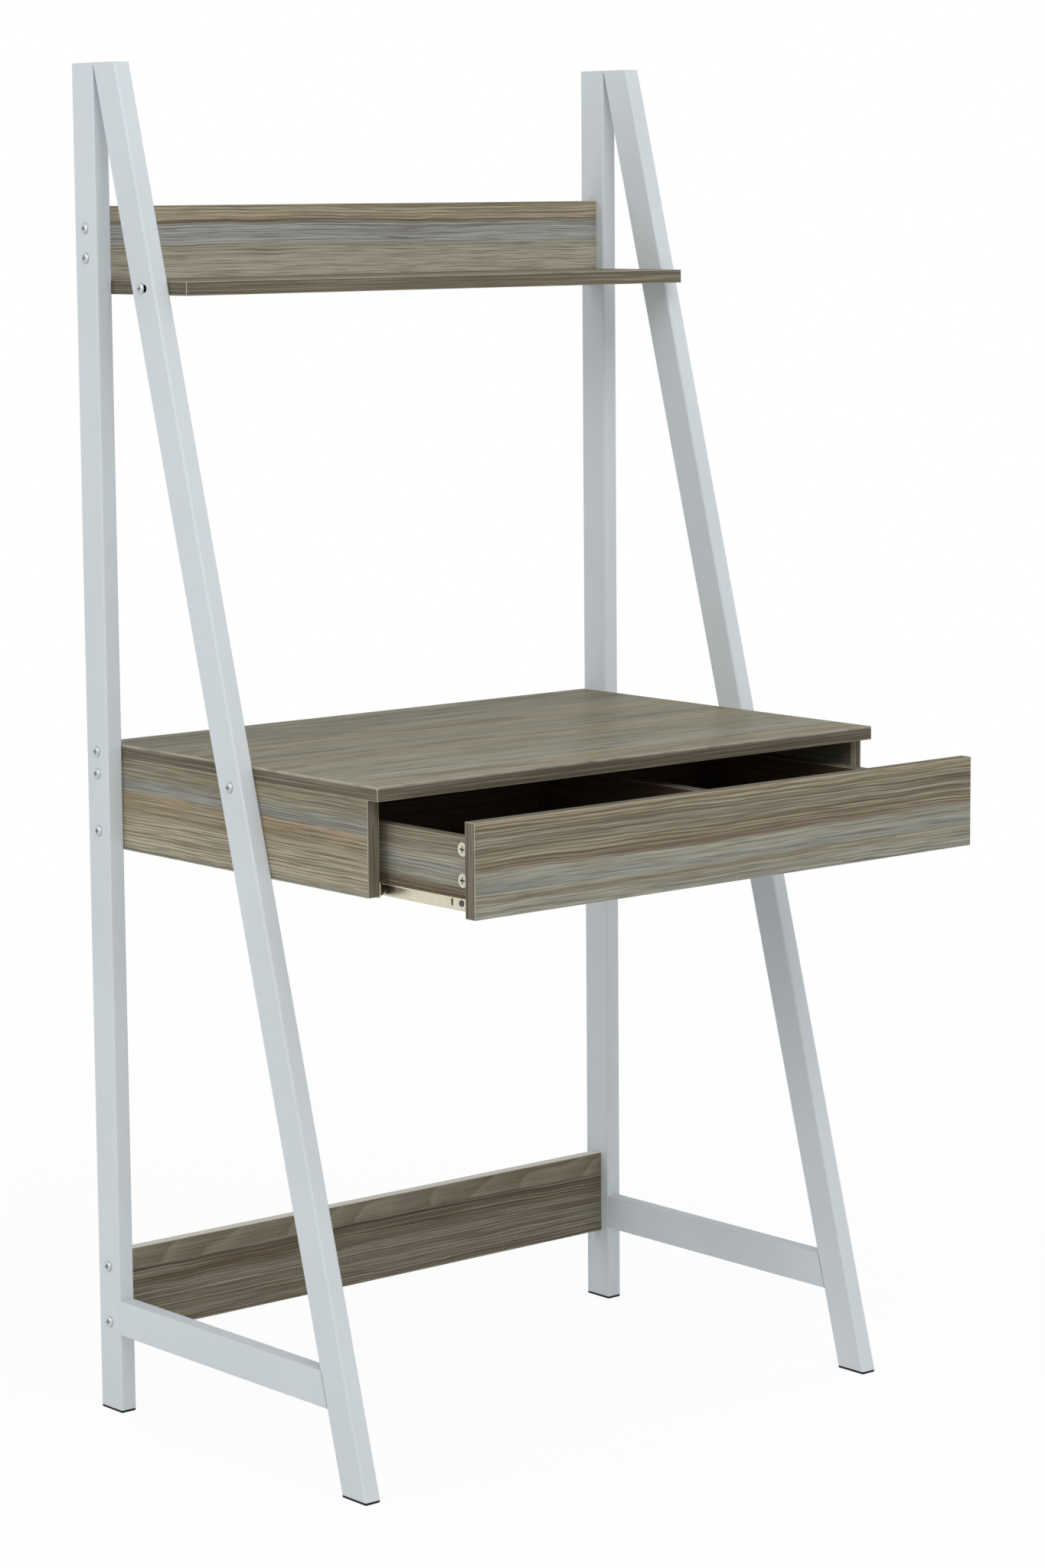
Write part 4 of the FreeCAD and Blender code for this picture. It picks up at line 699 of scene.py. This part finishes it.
def beech(name):
    """Solid wood of the dowels, with short open pores."""
    material, tree, shader = new_material(name)
    pores = drawn_noise(tree, coordinates(tree), PORE_SCALES, detail=3.0)
    tint = ramp(tree, pores, PORE_STOPS)
    gloss = spanning(tree, pores, PORE_ROUGHNESS, PORE_ROUGHENING)
    cover(tree, shader, tint, gloss, pores, PORE_STRENGTH, PORE_DEPTH)
    return material


# ------------------------------------------------------------------------------- dressing the desk
def pair(name):
    return name + "_left", name + "_right"


dress(powder_coat("frame_white_paint", FRAME_WHITE, roughness=0.64, texture=900.0,
                  specular=FRAME_SPECULAR, tube=True),
      *pair("rear_leg"), *pair("front_leg"), *pair("crossbar"), *pair("top_plate"))
for bolts in ("frame_bolts", "desk_back_bolts", "desk_side_bolts"):
    dress(plated("bright_plate_" + bolts, BRIGHT_PLATE, roughness=0.26, dulling=0.88, heads=bolts),
          bolts)
dress(moulded("foot_black_plastic", FOOT_BLACK, roughness=0.62),
      *pair("rear_foot"), *pair("front_foot"))
dress(plated("runner_warm_plate", WARM_PLATE, roughness=0.16, dulling=0.92),
      *pair("cabinet_runner"), *pair("drawer_runner"))
dress(moulded("roller_black_nylon", ROLLER_BLACK, roughness=0.42),
      *pair("cabinet_roller"), *pair("drawer_roller"))
for cams, heads in (("drawer_cams", "drawer_cams"), ("desk_top_cams", None)):
    dress(powder_coat("cream_coat_" + cams, CREAM, roughness=0.32, texture=1700.0, heads=heads),
          cams)
dress(plated("zinc_plate", ZINC, roughness=0.24),
      "barrel_nuts", "desk_side_inserts", "desk_top_cam_pins", "drawer_cam_pins",
      "drawer_back_screws", "cabinet_roller_pins", "drawer_roller_pins")
dress(plated("darker_zinc_plate", DARKER_ZINC, roughness=0.34),
      "cabinet_runner_screws", "drawer_runner_screws")
dress(beech("dowel_beech"), "shelf_rail_dowels", "desk_back_dowels", "divider_dowels")
dress(fibreboard("drawer_bottom_print"), "drawer_bottom")

# Bands of each print, from the board's lower or front edge to its upper or rear edge: share of the
# width, colour, and strength of the growth rings
TOP_BANDS = ((0.00, TAUPE, 0.4), (0.08, TAN, 0.3), (0.15, SAGE, 0.2), (0.24, TAUPE, 0.4),
             (0.33, OLIVE, 0.2), (0.41, TAN, 0.6), (0.50, OLIVE, 0.3), (0.60, TAUPE, 0.5),
             (0.66, TAN, 0.7), (0.76, OLIVE, 0.4), (0.87, DUSK, 0.6), (1.00, OLIVE, 0.4))
SIDE_BANDS = ((0.00, SAGE, 0.6), (0.10, SAND, 0.9), (0.36, SAND, 1.0), (0.48, TAN, 0.8),
              (0.64, OCHRE, 0.5), (0.69, BLUE_GREY, 0.4), (0.76, BLUE_GREY, 0.3),
              (0.86, TAUPE, 0.4), (1.00, BROWN, 0.5))
FRONT_BANDS = ((0.00, BLUE_GREY, 0.4), (0.12, SAGE, 0.5), (0.20, TAUPE, 0.4),
               (0.28, BLUE_GREY, 0.2), (0.46, SAGE, 0.1), (0.50, BARK, 0.5), (0.60, BROWN, 1.0),
               (0.80, DUSK, 1.0), (0.92, BROWN, 0.8), (1.00, TAN, 0.4))
BOX_BANDS = ((0.00, BROWN, 0.3), (0.22, BARK, 0.5), (0.34, SAGE, 0.4), (0.50, SILVER, 0.5),
             (0.62, PALE, 0.7), (0.80, TAUPE, 1.0), (1.00, BROWN, 0.6))
RAIL_BANDS = ((0.00, RAIL_PALE, 0.2), (0.30, RAIL_PALE, 0.4), (0.42, PALE, 0.7),
              (0.52, RAIL_GREY, 0.8), (0.71, RAIL_GREY, 0.8), (0.76, BARK, 0.9),
              (0.80, RAIL_TAN, 0.8), (0.94, RAIL_TAN, 0.8), (1.00, TAUPE, 0.7))
LOW_BANDS = ((0.00, DUSK, 0.9), (0.30, DUSK, 0.8), (0.52, DUSK, 0.7), (0.58, BARK, 1.0),
             (0.66, BARK, 1.0), (0.73, LINE_DARK, 1.0), (0.77, DUSK, 0.1), (1.00, DUSK, 0.0))

BOARDS = (
    # node, grain, flat, bands, shift along the grain, what else is special
    ("desk_top", "X", "Z", TOP_BANDS, 0.3, {"broad_upper_highlight": True}),
    ("shelf_board", "X", "Z", TOP_BANDS, 1.9, {}),
    ("shelf_back_rail", "X", "Y", RAIL_BANDS, 3.1, {}),
    ("desk_back_panel", "X", "Y", FRONT_BANDS, 4.7, {}),
    ("low_stretcher", "X", "Y", LOW_BANDS, 5.3, {"painted_upper_sheen": 0.95, "flames": True}),
    ("drawer_front", "X", "Y", FRONT_BANDS, 6.2, {"inside": "+"}),
    ("drawer_back", "X", "Y", BOX_BANDS, 7.7, {"inside": "-"}),
    ("desk_side_left", "Y", "X", SIDE_BANDS, 8.4, {}),
    ("desk_side_right", "Y", "X", SIDE_BANDS, 9.1, {}),
    ("drawer_side_left", "Y", "X", BOX_BANDS, 10.6, {"inside": "+"}),
    ("drawer_side_right", "Y", "X", BOX_BANDS, 11.3, {"inside": "-"}),
    ("drawer_divider", "Y", "X", BOX_BANDS, 12.8, {"inside": "both"}),
)
for board, grain, flat, bands, shift, special in BOARDS:
    dress(laminate(board, grain, flat, bands, shift, **special), board)

# ------------------------------------------------------------------------------- floor and lights
# The strength at which the background is seen as written
SHOWN_STRENGTH = 1.0
FLOOR_REACH = 30.0
FLOOR_ROUGHNESS = 0.9
FLOOR_CLOUD_SCALE = 3.0
FLOOR_STOPS = ((0.3, grey(0.88)), (0.7, grey(0.91)))
# The floor's share of plain white near the desk, where the rest keeps a trace of the shadow, and
# the distances between which it turns wholly white
FLOOR_WHITE_SHARE = 0.94
FLOOR_WHITE_FADE = (0.9, 4.0)
AMBIENT_TINT = (0.95, 0.97, 1.0, 1.0)
AMBIENT_STRENGTH = 0.50
BODY_MIDDLE = (0, 0, 0.8)
LEGS_MIDDLE = (0, 0, 0.4)


def floor_material():
    """Shows white to the camera and keeps a trace of the desk's shadow."""
    material, tree, shader = new_material("floor_white")
    cloud = noise(tree, coordinates(tree), scale=FLOOR_CLOUD_SCALE, detail=3.0)
    tree.links.new(ramp(tree, cloud, FLOOR_STOPS), shader.inputs["Base Color"])
    shader.inputs["Roughness"].default_value = FLOOR_ROUGHNESS
    shine = tree.nodes.new("ShaderNodeEmission")
    shine.inputs["Color"].default_value = WHITE
    shine.inputs["Strength"].default_value = SHOWN_STRENGTH
    distance = tree.nodes.new("ShaderNodeVectorMath")
    distance.operation = "LENGTH"
    tree.links.new(coordinates(tree), distance.inputs[0])
    far = band(tree, distance.outputs["Value"], *FLOOR_WHITE_FADE)
    whiteness = spanning(tree, far, FLOOR_WHITE_SHARE, 1.0 - FLOOR_WHITE_SHARE)
    mixed = mix_shaders(tree, multiply(tree, seen_directly(tree), whiteness),
                        shader.outputs["BSDF"], shine.outputs["Emission"])
    tree.links.new(mixed, tree.nodes["Material Output"].inputs["Surface"])
    return material


def background(tree, tint, strength):
    node = tree.nodes.new("ShaderNodeBackground")
    node.inputs["Color"].default_value = tint
    node.inputs["Strength"].default_value = strength
    return node.outputs["Background"]


def studio_world():
    """Lights the desk with a soft grey, and shows white behind it."""
    world = bpy.data.worlds.new("studio")
    world.use_nodes = True
    tree = world.node_tree
    tree.nodes.clear()
    output = tree.nodes.new("ShaderNodeOutputWorld")
    mixed = mix_shaders(tree, seen_directly(tree),
                        background(tree, AMBIENT_TINT, AMBIENT_STRENGTH),
                        background(tree, WHITE, SHOWN_STRENGTH))
    tree.links.new(mixed, output.inputs["Surface"])
    return world


def softbox(name, place, target, width, height, power, mirrored):
    light = bpy.data.lights.new(name, "AREA")
    light.shape = "RECTANGLE"
    light.size = width
    light.size_y = height
    light.energy = power
    lamp = bpy.data.objects.new(name, light)
    lamp.visible_glossy = mirrored
    lamp.location = place
    lamp.rotation_euler = (Vector(target) - Vector(place)).to_track_quat("-Z", "Y").to_euler()
    bpy.context.scene.collection.objects.link(lamp)


floor_mesh = bpy.data.meshes.new("floor")
floor_corners = [(-FLOOR_REACH, -FLOOR_REACH, 0), (FLOOR_REACH, -FLOOR_REACH, 0),
                 (FLOOR_REACH, FLOOR_REACH, 0), (-FLOOR_REACH, FLOOR_REACH, 0)]
floor_mesh.from_pydata(floor_corners, [], [(0, 1, 2, 3)])
floor_mesh.materials.append(floor_material())
floor = bpy.data.objects.new("floor", floor_mesh)
bpy.context.scene.collection.objects.link(floor)

bpy.context.scene.world = studio_world()

LAMPS = (
    # name, place, point that it looks at, width, height, power in watts, seen in reflections
    ("key_front", (-0.8, -3.1, 4.0), BODY_MIDDLE, 3.2, 2.6, 78, True),
    ("fill_left", (-5.4, 0.6, 3.0), BODY_MIDDLE, 4.0, 3.6, 86, True),
    ("fill_low", (-0.8, -4.1, 0.6), LEGS_MIDDLE, 2.4, 0.8, 10, True),
    ("fill_right", (3.7, -0.6, 2.0), BODY_MIDDLE, 2.4, 2.4, 22, False),
    ("fill_back", (0.8, 3.8, 1.8), BODY_MIDDLE, 2.4, 2.4, 22, False),
)
for lamp_values in LAMPS:
    softbox(*lamp_values)

# ------------------------------------------------------------------------------------------ camera
# At the photograph's viewpoint. The focal length is in pixels of the whole photograph, and the
# sensor's height in millimetres.
IMAGE_WIDTH = 1365
IMAGE_HEIGHT = 2048
CAMERA_PLACE = Vector((-2.938465, -3.466191, 1.360268))
CAMERA_YAW = math.radians(-40.117)
CAMERA_PITCH = math.radians(-8.153)
CAMERA_ROLL = math.radians(-0.4587)
FOCAL_PIXELS = 5412.5
SENSOR_HEIGHT = 36.0
CLIP_START = 0.05
CLIP_END = 100.0

forward = Vector((-math.sin(CAMERA_YAW) * math.cos(CAMERA_PITCH),
                  math.cos(CAMERA_YAW) * math.cos(CAMERA_PITCH), math.sin(CAMERA_PITCH)))
level = Vector((math.cos(CAMERA_YAW), math.sin(CAMERA_YAW), 0))
upright = level.cross(forward)
right = level * math.cos(CAMERA_ROLL) + upright * math.sin(CAMERA_ROLL)
up = upright * math.cos(CAMERA_ROLL) - level * math.sin(CAMERA_ROLL)

camera_data = bpy.data.cameras.new("camera")
camera_data.sensor_fit = "VERTICAL"
camera_data.sensor_height = SENSOR_HEIGHT
camera_data.sensor_width = SENSOR_HEIGHT * IMAGE_WIDTH / IMAGE_HEIGHT
camera_data.lens = FOCAL_PIXELS * SENSOR_HEIGHT / IMAGE_HEIGHT
camera_data.clip_start = CLIP_START
camera_data.clip_end = CLIP_END
camera = bpy.data.objects.new("camera", camera_data)
bpy.context.scene.collection.objects.link(camera)
turn = Matrix((right, up, -forward)).transposed().to_4x4()
camera.matrix_world = Matrix.Translation(CAMERA_PLACE) @ turn
bpy.context.scene.camera = camera
bpy.context.scene.view_settings.view_transform = "Standard"
